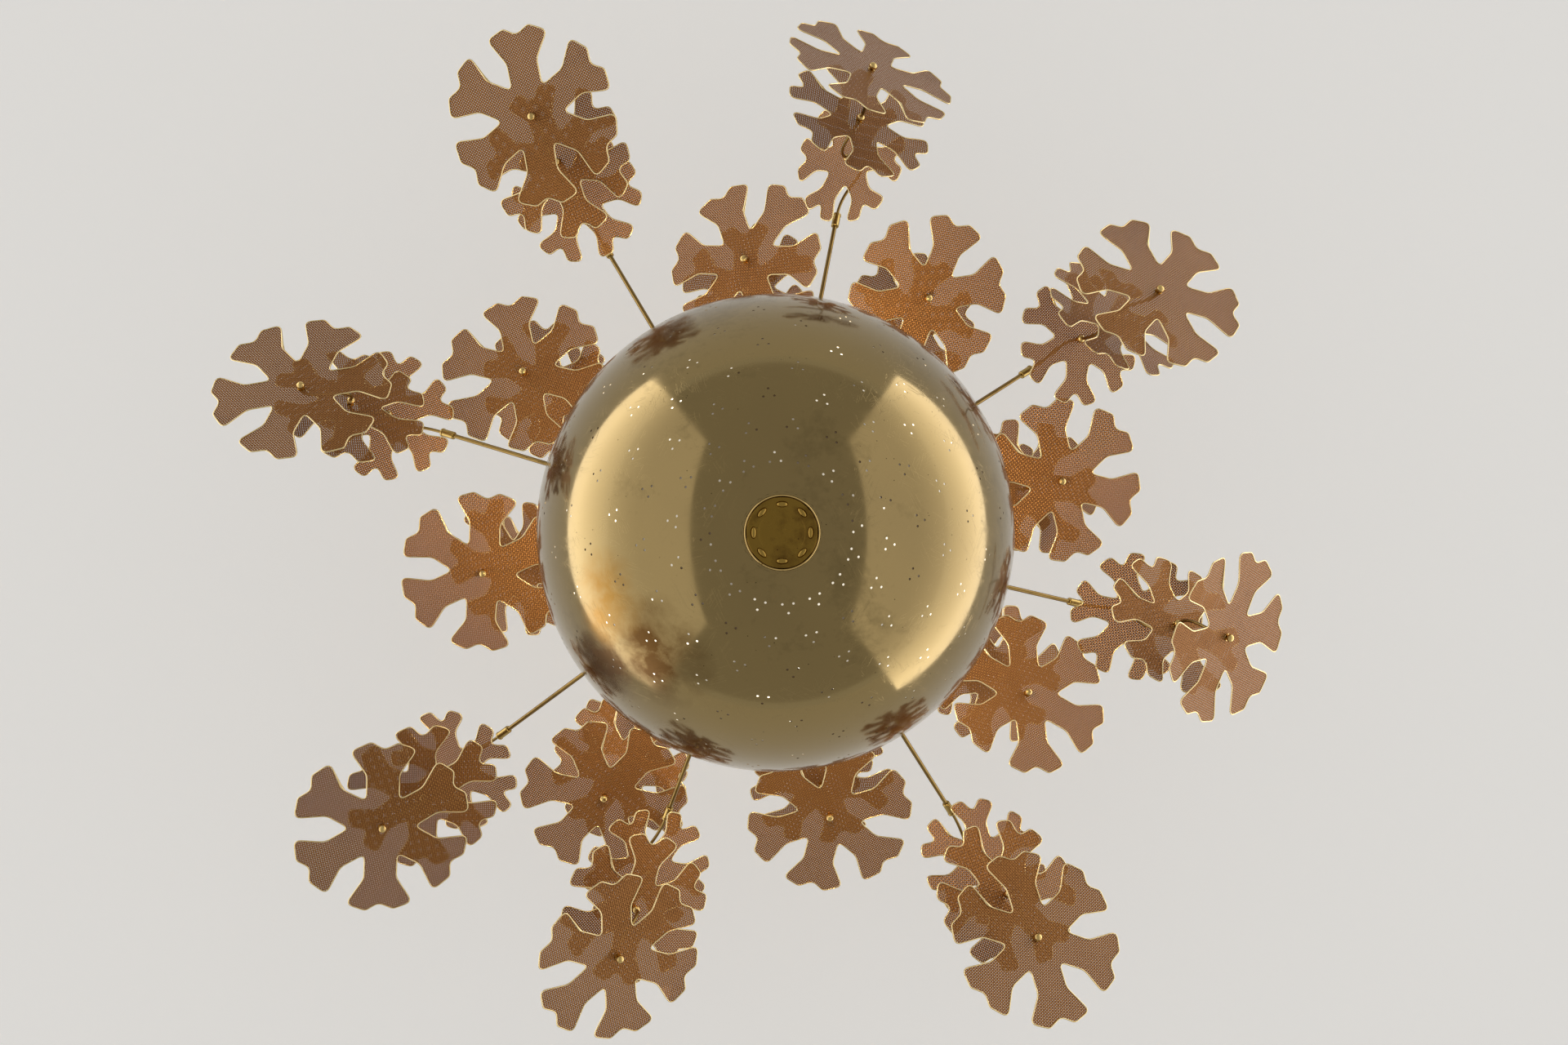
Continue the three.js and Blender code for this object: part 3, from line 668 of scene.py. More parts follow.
def wire_cloth():
    """Plain-woven copper-brown brass wire, open between the threads, darkened in patches, with
    painted shade and sheen.
    """
    warm_wire, brown_wire = colour(156, 106, 54), colour(140, 92, 48)
    darkened, painted_sheen_wire, between = colour(104, 69, 39), colour(164, 114, 58), colour(88, 54, 30)
    rubbed, dull = 0.42, 0.62
    thread_side, thread_crown = 0.2, 0.9
    made = Finish("woven_wire_cloth")
    tree = made.tree
    laid = node_of(tree, "ShaderNodeUVMap", uv_map="cloth").outputs["UV"]
    inputs = {0: laid, "Scale": CLOTH_UV_SIZE}
    scaled = node_of(tree, "ShaderNodeVectorMath", inputs, operation="SCALE").outputs["Vector"]
    weave = made.group(WEAVE, scaled, Pitch=CLOTH_PITCH, Thread=CLOTH_THREAD)
    clouds = made.group(TARNISH, Scale=16.0, Amount=0.5)["Mask"]
    warm = blended(tree, slow_drift(made, 6.0, 0.4), warm_wire, brown_wire)
    # Painted sheen: the threads that run one way are painted a lighter colour.
    lit = blended(tree, weave["Warp"], blended(tree, clouds, warm, darkened), painted_sheen_wire)
    # Painted shade: the colour darkens down each thread's sides and in the gaps between threads, by
    # the weave's height.
    thread_shade_share = ranged(tree, weave["Height"], thread_side, thread_crown)
    made.feed("Base Color", blended(tree, thread_shade_share, between, lit))
    made.feed("Roughness", ranged(tree, clouds, 0.0, 1.0, rubbed, dull))
    made.constant(Metallic=0.75, Specular_IOR_Level=0.25)
    made.feed("Alpha", weave["Mask"])
    made.bump(weave["Height"], THREAD_DEPTH, 0.8)
    made.material.surface_render_method = "DITHERED"
    return made.material


def plain_finish(name, first, second, scale, smooth, rough):
    """A finish that drifts between two close colours, with a fine uneven surface."""
    made = Finish(name)
    tree = made.tree
    drift = made.group(TARNISH, Scale=scale, Amount=0.5)["Mask"]
    fine = noise(tree, made.place, 420.0, detail=4.0, roughness=0.6)
    made.feed("Base Color", blended(tree, drift, first, second))
    made.feed("Roughness", ranged(tree, fine, 0.3, 0.7, smooth, rough))
    made.bump(fine, GRAIN_DEPTH, 0.5)
    return made


def opal_glass():
    """Milky glass lit from inside, warmer near its neck."""
    neck_glow, crown_glow = colour(255, 196, 120), colour(255, 232, 190)
    neck_height, crown_height = -0.800, -0.755
    made = plain_finish("opal_glass", colour(226, 214, 186), colour(214, 200, 170), 30, 0.16, 0.24)
    glow = ranged(made.tree, split(made.tree, made.place)[2], neck_height, crown_height)
    made.feed("Emission Color", blended(made.tree, glow, neck_glow, crown_glow))
    made.constant(Emission_Strength=0.62, Coat_Weight=0.4)
    return made.material


# Places on the bowl, in metres, where a bright glow is painted on the lining behind the holes, and
# their size
PAINTED_GLOW_SPOTS = (
    (0.098, 0.096, -0.826), (-0.105, 0.098, -0.82), (0.1, -0.104, -0.82), (-0.112, -0.096, -0.82),
)
PAINTED_GLOW_SIZE = 0.06


def painted_glow_lining():
    """What shows through the bowl's holes: its white inside, with a glow and shade painted into it.
    """
    lowest_place = (0.0, 0.0, (RIM_HEIGHT - BOWL_RADIUS) * MM)
    dim_reach, dim_share = 0.15, 0.3
    few_lit, contrast = 2.4, 1.6
    made = Finish("white_lining_painted_glow")
    tree = made.tree
    # Painted glow: each cell of holes gets its own random brightness, painted dimmer towards the
    # bowl's bottom.
    chance, _ = scattered(tree, made.place, 34.0)
    middle = near_mask(made, lowest_place, dim_reach)
    dimmed = ranged(tree, middle, 0.0, 1.0, 1.0, dim_share)
    share = times(tree, power(tree, chance, few_lit), dimmed)
    # Painted glow: full brightness round each glow spot.
    for place in PAINTED_GLOW_SPOTS:
        share = most(tree, share, near_mask(made, place, PAINTED_GLOW_SIZE))
    share = power(tree, share, contrast)
    # Painted light and shade: dark brown where little glow is painted, near white where much is, in
    # colour and emission alike.
    made.feed("Base Color", blended(tree, share, colour(40, 30, 18), colour(255, 250, 236)))
    made.feed("Emission Color", blended(tree, share, colour(36, 25, 12), colour(255, 246, 226)))
    made.constant(Roughness=0.5, Emission_Strength=2.6)
    return made.material


BOWL_BRASS = bowl_brass()
CANOPY_BRASS = worn_brass(
    "polished_brass", colour(172, 152, 94), colour(122, 104, 58), 8.0, 0.35, 0.18, 0.36, 0.4
)
ROD_BRASS = worn_brass(
    "dulled_rod_brass", colour(132, 108, 60), colour(84, 64, 34), 22.0, 0.5, 0.28, 0.46
)
FITTING_BRASS = worn_brass(
    "turned_brass", colour(164, 138, 80), colour(108, 86, 46), 30.0, 0.42, 0.22, 0.4, 0.8
)
NUT_BRASS = worn_brass(
    "bright_nut_brass", colour(204, 174, 112), colour(134, 104, 58), 90.0, 0.4, 0.16, 0.34
)
CAP_BRASS = worn_brass(
    "browned_cap_brass", colour(132, 104, 44), colour(84, 58, 26), 46.0, 0.6, 0.24, 0.42, 0.5
)
BOSS_BRASS = worn_brass(
    "rubbed_boss_brass", colour(158, 128, 62), colour(104, 76, 34), 60.0, 0.4, 0.1, 0.2
)
RIM_WIRE = worn_brass(
    "pale_rim_wire", colour(226, 204, 150), colour(168, 132, 82), 40.0, 0.45, 0.26, 0.42
)
HOOK_STEEL = worn_brass(
    "dull_steel", colour(142, 138, 132), colour(104, 98, 90), 40.0, 0.4, 0.34, 0.5
)
WIRE_CLOTH = wire_cloth()
OPAL_GLASS = opal_glass()
PAINTED_GLOW_LINING = painted_glow_lining()
WHITE_ENAMEL = plain_finish(
    "white_enamel", colour(240, 234, 220), colour(226, 216, 196), 10.0, 0.28, 0.4
).material
PORCELAIN = plain_finish(
    "porcelain", colour(238, 232, 220), colour(224, 214, 196), 40.0, 0.2, 0.3
).material
BLACK_INSULATOR = plain_finish(
    "black_insulator", colour(34, 32, 30), colour(48, 44, 40), 60.0, 0.35, 0.5
).material


# Ceiling plate, hook and link

PLATE_PROFILE = ((0, -5), (12, -5), (13, -4.4), (27, -4.4), (28, -5), (32, -5), (32, 0), (0, 0))
PLATE_SCREW_OUT = 23
PLATE_SCREW_SEAT = -4.35
HOOK_WIRE = 3.0
HOOK_RING = 11.0
HOOK_CENTRE = -24.0
HOOK_SHANK = (-4.0, -8.0)
HOOK_START = 90
HOOK_END = 150 - 360
HOOK_TIP = (0.97, 0.8, 0.4)
HOOK_NUT = ((0, -9.5), (6.4, -9.5), (7, -8.8), (7, -5.6), (6.4, -4.9), (0, -4.9))
LINK_WIRE = 2.5
LINK_WELD = 1.12
LINK_BEND = 9.0
LINK_TOP = -29.2
LINK_LOW = -57.2


def screw_head(radius, height):
    """A domed screw head with a straight slot, its flat side on Z zero, looking down."""
    slot_half, slot_depth, slot_from = radius * 0.14, height * 0.4, -height * 0.3
    dome = [
        (0, -height), (radius * 0.55, -height * 0.88), (radius * 0.9, -height * 0.45),
        (radius, 0), (0, 0),
    ]
    points, faces = turned(dome, 20)
    for p in points:
        if abs(p.x) < slot_half and p.z < slot_from:
            p.z += slot_depth
    return points, faces


def ceiling_plate():
    """The plate, its two screws, and the hook with its nut."""
    piece = Piece("ceiling_plate_disc", FITTING_BRASS)
    piece.turn(PLATE_PROFILE, 96, 0.8)
    piece.make("ceiling", ["ceiling_plate"])
    screws = Piece("ceiling_plate_screws", HOOK_STEEL)
    for side in (-1, 1):
        place = Matrix.Translation((0, PLATE_SCREW_OUT * side, PLATE_SCREW_SEAT))
        screws.add(screw_head(4.2, 2.2), place=place)
    screws.make("ceiling")
    hook = Piece("ceiling_hook", HOOK_STEEL)
    centre = Vector((0, 0, HOOK_CENTRE))
    path = [Vector((0, 0, height)) for height in HOOK_SHANK]
    path += arc(centre, HOOK_RING, Vector((1, 0, 0)), HOOK_START, HOOK_END, 48)
    sizes = [HOOK_WIRE] * (len(path) - 3) + [HOOK_WIRE * share for share in HOOK_TIP]
    hook.add(swept(path, sizes, 20))
    hook.turn(HOOK_NUT, 6, 0.5, 2)
    hook.make("ceiling")


def hook_link():
    """The long link between the hook and the stem's eye, thicker where it is welded."""
    piece = Piece("hook_link_ring", HOOK_STEEL)
    across = Vector((0, 1, 0))
    path = arc(Vector((0, 0, LINK_TOP - LINK_BEND)), LINK_BEND, across, 0, 180, 20)
    path += arc(Vector((0, 0, LINK_LOW + LINK_BEND)), LINK_BEND, across, 180, 360, 20)
    sizes = [LINK_WIRE] * len(path)
    sizes[0] = LINK_WIRE * LINK_WELD
    piece.add(swept(path, sizes, 18, closed=True, up=Vector((1, 0, 0))))
    piece.make("link", ["hook_link"])


# Stem

EYE_WIRE = 2.5
EYE_RING = 9.0
EYE_CENTRE = -60.9
EYE_NECK = (
    (0, -82.4), (7.4, -82.4), (8, -81.6), (8, -79), (7.2, -78.2), (7.2, -76.4), (8, -75.6),
    (8, -71.4), (6.6, -69.2), (4.2, -67.9), (0, -67.9),
)
STEM_FOOT = BODY_HEIGHT + FIT_GAP
STEM_BORE = 2.7
STEM_BORE_SEEN = 30
STEM_PROFILE = (
    (STEM_BORE, STEM_FOOT), (6.1, STEM_FOOT), (6.5, STEM_FOOT + 0.6), (6.5, -81), (0, -81),
)
GROMMET = ((2.0, 5.6), (2.0, 7.1), (2.8, 7.4), (3.6, 7.0), (3.8, 6.2), (3.6, 5.6))
GROMMET_HEIGHT = -96.6


def stem():
    """The eye with its neck, and the tube with the grommet that a wire leaves by."""
    top = Piece("stem_eye", FITTING_BRASS)
    ring = arc(Vector((0, 0, EYE_CENTRE)), EYE_RING, Vector((1, 0, 0)), 0, 360, 44)[:-1]
    top.add(swept(ring, EYE_WIRE, 18, closed=True, up=Vector((0, 1, 0))))
    top.turn(EYE_NECK, 48, 0.5)
    top.make("lamp")
    tube = Piece("stem_tube", ROD_BRASS, BLACK_INSULATOR)
    bore = [(STEM_BORE, STEM_FOOT + STEM_BORE_SEEN)]
    tube.add(turned(bore + rounded(STEM_PROFILE, 0.3, 2), 48))
    side_turn = lifted(GROMMET_HEIGHT) @ Matrix.Rotation(math.pi / 2, 4, "Y")
    tube.turn(GROMMET, 24, 0.3, 3, 1, side_turn, closed=True)
    tube.make("lamp", ["stem"])


# Canopy: its bell is drawn from its rim at Z zero, and hangs a little below the ceiling

CANOPY_DROP = -8
CANOPY_DEPTH = 84.0
CANOPY_SIDE = 14.0
CANOPY_RADIUS = 60.0
CANOPY_FOOT = 14.0
CANOPY_WALL = 1.4
CANOPY_BORE = 7.0
CANOPY_STEPS = 26
CANOPY_RIM = (
    (CANOPY_RADIUS, -3.4), (CANOPY_RADIUS - 0.6, -2.2), (CANOPY_RADIUS, -1.0),
    (CANOPY_RADIUS - 0.7, 0.0),
)
CANOPY_COLLAR = (
    (6.9, -7.6), (9.6, -7.6), (10.4, -6.8), (10.4, -1.6), (12.6, 0.2), (12.6, 1.2), (6.9, 1.2),
)
CANOPY_COLLAR_HEIGHT = -92.4
CANOPY_SCREW_PLACE = (0, -10.0, -96.6)


def bell_curve(steps, wall):
    """The bell's side between its foot and its widest, a wall's thickness inside the outer one."""
    made = []
    for i in steps:
        a = (math.pi / 2) * i / CANOPY_STEPS
        reach = CANOPY_FOOT + (CANOPY_RADIUS - CANOPY_FOOT - wall) * math.sin(a)
        drop = -CANOPY_SIDE - (CANOPY_DEPTH - CANOPY_SIDE - wall) * math.cos(a)
        made.append((reach, drop))
    return made


def canopy():
    """The bell, and the collar with the screw that holds it up."""
    outside = [(CANOPY_BORE, -CANOPY_DEPTH), (CANOPY_FOOT, -CANOPY_DEPTH)]
    outside += bell_curve(range(1, CANOPY_STEPS + 1), 0.0)
    outside += CANOPY_RIM
    inside = [(CANOPY_RADIUS - CANOPY_WALL, 0.0)]
    inside += bell_curve(range(CANOPY_STEPS, 0, -1), CANOPY_WALL)
    low = -CANOPY_DEPTH + CANOPY_WALL
    inside += [(CANOPY_FOOT - CANOPY_WALL, low), (CANOPY_BORE, low)]
    piece = Piece("canopy_bell", CANOPY_BRASS)
    piece.add(turned(outside + inside, 128, closed=True), place=lifted(CANOPY_DROP))
    piece.make("canopy", ["canopy"], 50)
    neck = Piece("canopy_neck", FITTING_BRASS, HOOK_STEEL)
    neck.turn(CANOPY_COLLAR, 56, 0.5, place=lifted(CANOPY_COLLAR_HEIGHT), closed=True)
    head = Matrix.Translation(CANOPY_SCREW_PLACE) @ Matrix.Rotation(-math.pi / 2, 4, "X")
    neck.add(screw_head(2.2, 1.8), 1, head)
    neck.make("canopy")


# Flakes

def flake_place(node):
    """A flake's place, from its solid: a matrix with X along an arm and Z out of its upper face."""
    points = np.array([v.co for v in frame["nodes"][node].data.vertices], float)
    points = np.unique(points.round(6), axis=0)
    middle = points.mean(0)
    spread = points - middle
    across = np.linalg.svd(spread, full_matrices=False)[2][2]
    up = Vector(across if across[2] > 0 else -across).normalized()
    first = up.orthogonal().normalized()
    second = up.cross(first)
    x = spread @ np.array(first)
    y = spread @ np.array(second)
    reach = np.hypot(x, y)
    tips = reach > 0.99 * reach.max()
    turn = np.angle(np.exp(1j * ARMS * np.arctan2(y[tips], x[tips])).sum()) / ARMS
    along = first * math.cos(turn) + second * math.sin(turn)
    made = Matrix((along, up.cross(along), up)).transposed().to_4x4()
    made.translation = Vector(middle) / MM
    return made


def flake_outline(size, chance):
    """The outline of a hand-cut flake: six arms with two lobes each, and a rounded V between."""
    shape = FLAKE_SIZES[size]
    side = [(*shape["neck"], NECK_EASE), (*shape["lobe"], LOBE_EASE), (*shape["tip"], LOBE_EASE)]
    half = [(along, -across, ease) for along, across, ease in side]
    half += [(shape["notch"], 0.0, NOTCH_EASE)] + side[::-1]
    corners = []
    for arm in range(ARMS):
        a = math.radians(ARM_ANGLE * arm)
        for along, across, radius in half:
            along += chance.uniform(-HAND_CUT, HAND_CUT)
            across += chance.uniform(-HAND_CUT, HAND_CUT)
            x = along * math.cos(a) - across * math.sin(a)
            y = along * math.sin(a) + across * math.cos(a)
            corners.append((x, y, radius))
        b = math.radians(ARM_ANGLE * arm + ARM_ANGLE // 2)
        gap = shape["gap"] - GAP_TRIM
        corners.append((gap * math.cos(b), gap * math.sin(b), GAP_EASE))
    return rounded(corners, 0, 4, loop=True)


def flake_bend(chance, reach):
    """How far the hand-bent sheet leaves its plane at a point: a dish, a twist and bent arms."""
    dish = chance.uniform(*FLAKE_DISH)
    twist = chance.uniform(*FLAKE_TWIST)
    lie = chance.uniform(0, math.pi)
    arms = [chance.uniform(*ARM_BEND) for _ in range(ARMS)]

    def height(x, y):
        share = math.hypot(x, y) / reach
        a = math.atan2(y, x)
        arm = arms[round(a / (math.pi / 3)) % ARMS]
        lift = 0.5 + 0.5 * math.cos(ARMS * a)
        return share * share * (dish + twist * math.cos(2 * (a - lie)) + arm * lift * share)

    return height


def cloth_sheet(outline, height):
    """The sheet's points and triangles inside its outline."""
    low = Vector((min(p.x for p in outline), min(p.y for p in outline)))
    high = Vector((max(p.x for p in outline), max(p.y for p in outline)))
    flat = [p.copy() for p in outline]
    edge = np.array([tuple(p) for p in outline])
    for i in range(int((high.x - low.x) / CLOTH_GRID) + 1):
        for j in range(int((high.y - low.y) / CLOTH_GRID) + 1):
            p = Vector((low.x + (i + 0.5 * (j % 2)) * CLOTH_GRID, low.y + j * CLOTH_GRID))
            if np.hypot(edge[:, 0] - p.x, edge[:, 1] - p.y).min() > CLOTH_EDGE_CLEAR:
                flat.append(p)
    ring = list(range(len(outline)))
    sheet, _, triangles, *_ = delaunay_2d_cdt(flat, [], [ring], 1, 1e-5)
    used = sorted(set(i for triangle in triangles for i in triangle))
    place = {old: new for new, old in enumerate(used)}
    points = [Vector((*sheet[i], height(*sheet[i]))) for i in used]
    return points, [[place[i] for i in triangle] for triangle in triangles]


def flake(name, size, number):
    """One flake: its cloth, laid at its own angle, and its rim wire with a soldered joint."""
    chance = random.Random(number)
    place = flake_place(name)
    outline = flake_outline(size, chance)
    height = flake_bend(chance, FLAKE_SIZES[size]["tip"][0])
    points, triangles = cloth_sheet(outline, height)
    cloth = Piece(f"{name}_cloth", WIRE_CLOTH)
    cloth.add((points, triangles), place=place)
    made = cloth.make("lamp", [name], 180)
    lay = Matrix.Rotation(chance.uniform(0, math.pi / 2), 2)
    laid = made.data.uv_layers.new(name="cloth")
    for loop in made.data.loops:
        laid.data[loop.index].uv = lay @ points[loop.vertex_index].xy / CLOTH_UV_SIZE
    rim = Piece(f"{name}_rim", RIM_WIRE)
    path = [Vector((p.x, p.y, height(p.x, p.y))) for p in outline]
    sizes = [RIM_WIRE_RADIUS] * len(path)
    for i, swell in enumerate(RIM_JOINT_SWELL):
        sizes[(RIM_JOINT_AT + i) % len(path)] = RIM_WIRE_RADIUS * swell
    rim.add(swept(path, sizes, 6, closed=True, up=Vector((0, 0, 1))), place=place)
    rim.make("lamp", sharp=180)
    return place


# Branches. The ball nut, washer and collar are drawn about a level flake's middle.

BALL_STEPS = 12
BALL_DROP = NUT_HEIGHT * 0.48
BALL_TURN = math.pi * 0.94
BALL_TOP_RADIUS = 1.9
NUT_WIRE_REACH = NUT_HEIGHT * 0.7
COLLAR_PROFILE = (
    (0, COLLAR_LOW), (3.0, COLLAR_LOW), (3.0, COLLAR_LOW + 1.0), (2.0, COLLAR_LOW + 1.6),
    (2.0, COLLAR_LOW + 3.2), (1.6, COLLAR_LOW + COLLAR_HEIGHT), (0, COLLAR_LOW + COLLAR_HEIGHT),
)
WASHER_PROFILE = ((0, NUT_TOP), (3.4, NUT_TOP), (3.4, -0.1), (0, -0.1))
SLEEVE_LENGTH = 16
SLEEVE_PROFILE = (
    (0, 0), (3.1, 0), (3.6, 0.7), (3.6, 12.6), (4.0, 13.2), (4.0, 14.6), (3.4, 15.4), (0, 15.8),
)
ROD_SOCKET_OUT = 6.4
ROD_SOCKET = ((0, 0), (4.2, 0), (4.2, 3.4), (3.4, 4.6), (2.6, 7.4), (0, 7.4))
HUB_PROFILE = (
    (6.8, -10), (18, -10), (20, -9), (23.2, -5.4), (23.2, -3.2), (24, -2.6), (24, 2.6),
    (23.2, 3.2), (23.2, 5.4), (20, 9), (18, 10), (11, 10), (10.4, 9.4), (6.8, 9.4),
)
HUB_SCREW_ANGLE = 5
HUB_SCREW_OUT = 23.4


def ball_nut():
    """The ball nut under a flake, nearly a whole ball."""
    ball = []
    middle = NUT_TOP - BALL_DROP
    for i in range(BALL_STEPS):
        a = -math.pi / 2 + BALL_TURN * i / (BALL_STEPS - 1)
        radius = NUT_RADIUS * math.cos(a) if i else 0.0
        ball.append((radius, middle + NUT_HEIGHT * 0.5 * math.sin(a)))
    return turned(ball + [(BALL_TOP_RADIUS, NUT_TOP), (0, NUT_TOP)], 20)


BALL = ball_nut()
COLLAR = turned(rounded(COLLAR_PROFILE, 0.3, 2), 18)
WASHER = turned(WASHER_PROFILE, 18)


def along_branch(azimuth, reach, rise):
    """A place on a branch. The azimuth is in radians, and the rise starts at the bowl's rim."""
    return ring_point(reach, azimuth, rise + RIM_HEIGHT)


def branch(tier, number, places):
    """One branch: rod with its sleeve and ferrule, and the wires that droop between flakes."""
    heights = TIERS[tier]
    first = places["small"].translation
    azimuth = math.atan2(first.y, first.x)
    extra = math.hypot(first.x, first.y) - heights["small"][0]
    piece = Piece(f"{tier}_{number}_branch", ROD_BRASS, FITTING_BRASS, NUT_BRASS)
    start = along_branch(azimuth, ROD_START, heights["hub"])
    end = along_branch(azimuth, heights["ferrule"][0] + extra, heights["ferrule"][1])
    along = (end - start).normalized()
    piece.add(swept([start, end], ROD_RADIUS, 16))
    turn = along.to_track_quat("Z", "Y").to_matrix().to_4x4()
    sleeve_place = Matrix.Translation(end - along * SLEEVE_LENGTH) @ turn
    socket_at = Matrix.Translation(start + along * ROD_SOCKET_OUT) @ turn
    piece.turn(SLEEVE_PROFILE, 24, 0.4, 2, 1, sleeve_place)
    piece.turn(ROD_SOCKET, 24, 0.5, 2, 1, socket_at)
    here = end - along * WIRE_SEAT_DEPTH
    heading = along
    first_flake = along_branch(azimuth, heights["small"][0] + extra, heights["small"][1])
    pull = (here - first_flake).length * FIRST_WIRE_PULL_SHARE
    for size in FLAKE_SIZES:
        place = places[size]
        face = -place.col[2].to_3d()
        middle = place.translation
        arrival = middle - face * (COLLAR_LOW + COLLAR_HEIGHT / 4)
        path = bezier(here, here + heading * pull, arrival - face * pull, arrival, 18)
        piece.add(swept(path, WIRE_RADIUS, 10))
        piece.add(COLLAR, 1, place)
        piece.add(BALL, 2, place)
        piece.add(WASHER, 2, place)
        here = middle + face * (-NUT_TOP + NUT_WIRE_REACH)
        heading = face
        pull = WIRE_PULL
    piece.make("lamp")


def hub(tier):
    """The turned disc on the stem that holds a tier's rods, with a grub screw between two rods."""
    middle = lifted(TIERS[tier]["hub"] + RIM_HEIGHT)
    piece = Piece(f"{tier}_hub", FITTING_BRASS, HOOK_STEEL)
    piece.turn(HUB_PROFILE, 96, 0.5, place=middle, closed=True)
    side = middle @ Matrix.Rotation(math.radians(HUB_SCREW_ANGLE), 4, "Z")
    side = side @ Matrix.Translation((HUB_SCREW_OUT, 0, 0))
    piece.add(screw_head(2.0, 0.6), 1, side @ Matrix.Rotation(-math.pi / 2, 4, "Y"))
    piece.make("lamp", [f"{tier}_branches"])


def all_branches():
    """Both tiers. Each flake's number starts its own random draws."""
    number = 0
    for tier in TIERS:
        hub(tier)
        for n in range(1, BRANCHES + 1):
            places = {}
            for size in FLAKE_SIZES:
                number += 1
                places[size] = flake(f"{tier}_{n}_{size}_flake", size, number)
            branch(tier, n, places)


# Lamp body. Its sockets, and the bulbs in them, are drawn about Z from the socket's foot.

COLUMN_FOOT = -875.9
COLUMN_PROFILE = (
    (0, COLUMN_FOOT), (20, COLUMN_FOOT), (20, COLUMN_FOOT + 1.6), (18.6, COLUMN_FOOT + 3),
    (11.6, COLUMN_FOOT + 3.6), (11, COLUMN_FOOT + 5), (11, BODY_HEIGHT - 12),
    (13, BODY_HEIGHT - 9), (23.2, BODY_HEIGHT - 9), (24, BODY_HEIGHT - 8), (24, BODY_HEIGHT - 1),
    (23, BODY_HEIGHT), (12, BODY_HEIGHT + 14), (11, BODY_HEIGHT + 15), (11, BODY_HEIGHT + 24),
    (10, BODY_HEIGHT + 28), (6.8, BODY_HEIGHT + 28), (0, BODY_HEIGHT + 26),
)
TIE_ROD_LOW = -882.4
TIE_ROD_TOP = -874.8
TIE_THREAD_LOW = -882.2
TIE_THREAD_PITCH = 0.8
TIE_THREAD_TURNS = 9
TIE_THREAD_RADII = (3.5, 4.0)
SOCKETS = 3
SOCKET_LEAN = 32.0
SOCKET_REACH = 17.0
SOCKET_LENGTH = 40.0
SOCKET_DEPTH = 22.0
SOCKET_CUP = (
    (0, -6), (10, -6), (13.2, -2), (14, 1), (14, 35.4), (13.2, 36), (13.2, 37), (14, 37.6),
    (14, 40), (12.6, 40), (12.6, 19), (0, 19),
)
SOCKET_LINING = (
    (10.4, 18.2), (12.4, 18.2), (12.4, 38.6), (11.8, 39.2), (10.9, 39.2), (10.4, 38.6),
)


def socket_place(index):
    """Carries what is drawn about Z to a socket's axis."""
    turn = Matrix.Rotation(2 * math.pi * index / SOCKETS + math.pi / 2, 4, "Z")
    lean = Matrix.Rotation(math.radians(SOCKET_LEAN), 4, "Y")
    return turn @ Matrix.Translation((SOCKET_REACH, 0, BODY_HEIGHT)) @ lean


def lamp_body():
    """The column, the threaded tie rod that holds the bowl, and the three lined sockets."""
    column = Piece("lamp_body_column", FITTING_BRASS)
    column.turn(COLUMN_PROFILE, 72, 0.6)
    column.make("lamp", ["lamp_body"])
    rod = Piece("tie_rod", FITTING_BRASS)
    root_radius, crest_radius = TIE_THREAD_RADII
    thread = [(0, TIE_ROD_LOW)]
    for i in range(TIE_THREAD_TURNS):
        z = TIE_THREAD_LOW + TIE_THREAD_PITCH * i
        thread += [(root_radius, z), (crest_radius, z + TIE_THREAD_PITCH / 2)]
    rod.add(turned(thread + [(3.6, TIE_ROD_TOP), (0, TIE_ROD_TOP)], 24))
    rod.make("lamp")
    for i in range(SOCKETS):
        cup = Piece(f"socket_{i + 1}", FITTING_BRASS, PORCELAIN)
        cup.turn(SOCKET_CUP, 56, 0.5, place=socket_place(i))
        cup.turn(SOCKET_LINING, 48, 0.4, 2, 1, socket_place(i), closed=True)
        cup.make("lamp")


# Bulbs

BULB_SEAT = SOCKET_LENGTH - SOCKET_DEPTH + FIT_GAP
BULB_RADIUS = 22.5
BULB_CENTRE = 50
BULB_FROM = -50
BULB_STEPS = 24
BULB_NECK = [(9.2, 22.0), (9.8, 24.5), (11.0, 27.5)]
BULB_CAP_FOOT = [(3.0, 0.9), (6.2, 1.6)]
BULB_CAP_TOP = [(9.6, 21.4), (10.0, 22.6), (9.4, 24.0)]
BULB_THREAD_TURNS = 7
BULB_THREAD_LOW = 3.2
BULB_THREAD_PITCH = 2.4
BULB_THREAD_TURN = ((9.1, 0), (9.9, 0.8), (9.9, 1.4), (9.2, 2.1))
BULB_INSULATOR = ((0, 0.6), (5.8, 0.9), (6.2, 1.7), (0, 1.7))
BULB_CONTACT = ((0, 0.0), (2.0, 0.1), (2.6, 0.6), (0, 0.7))


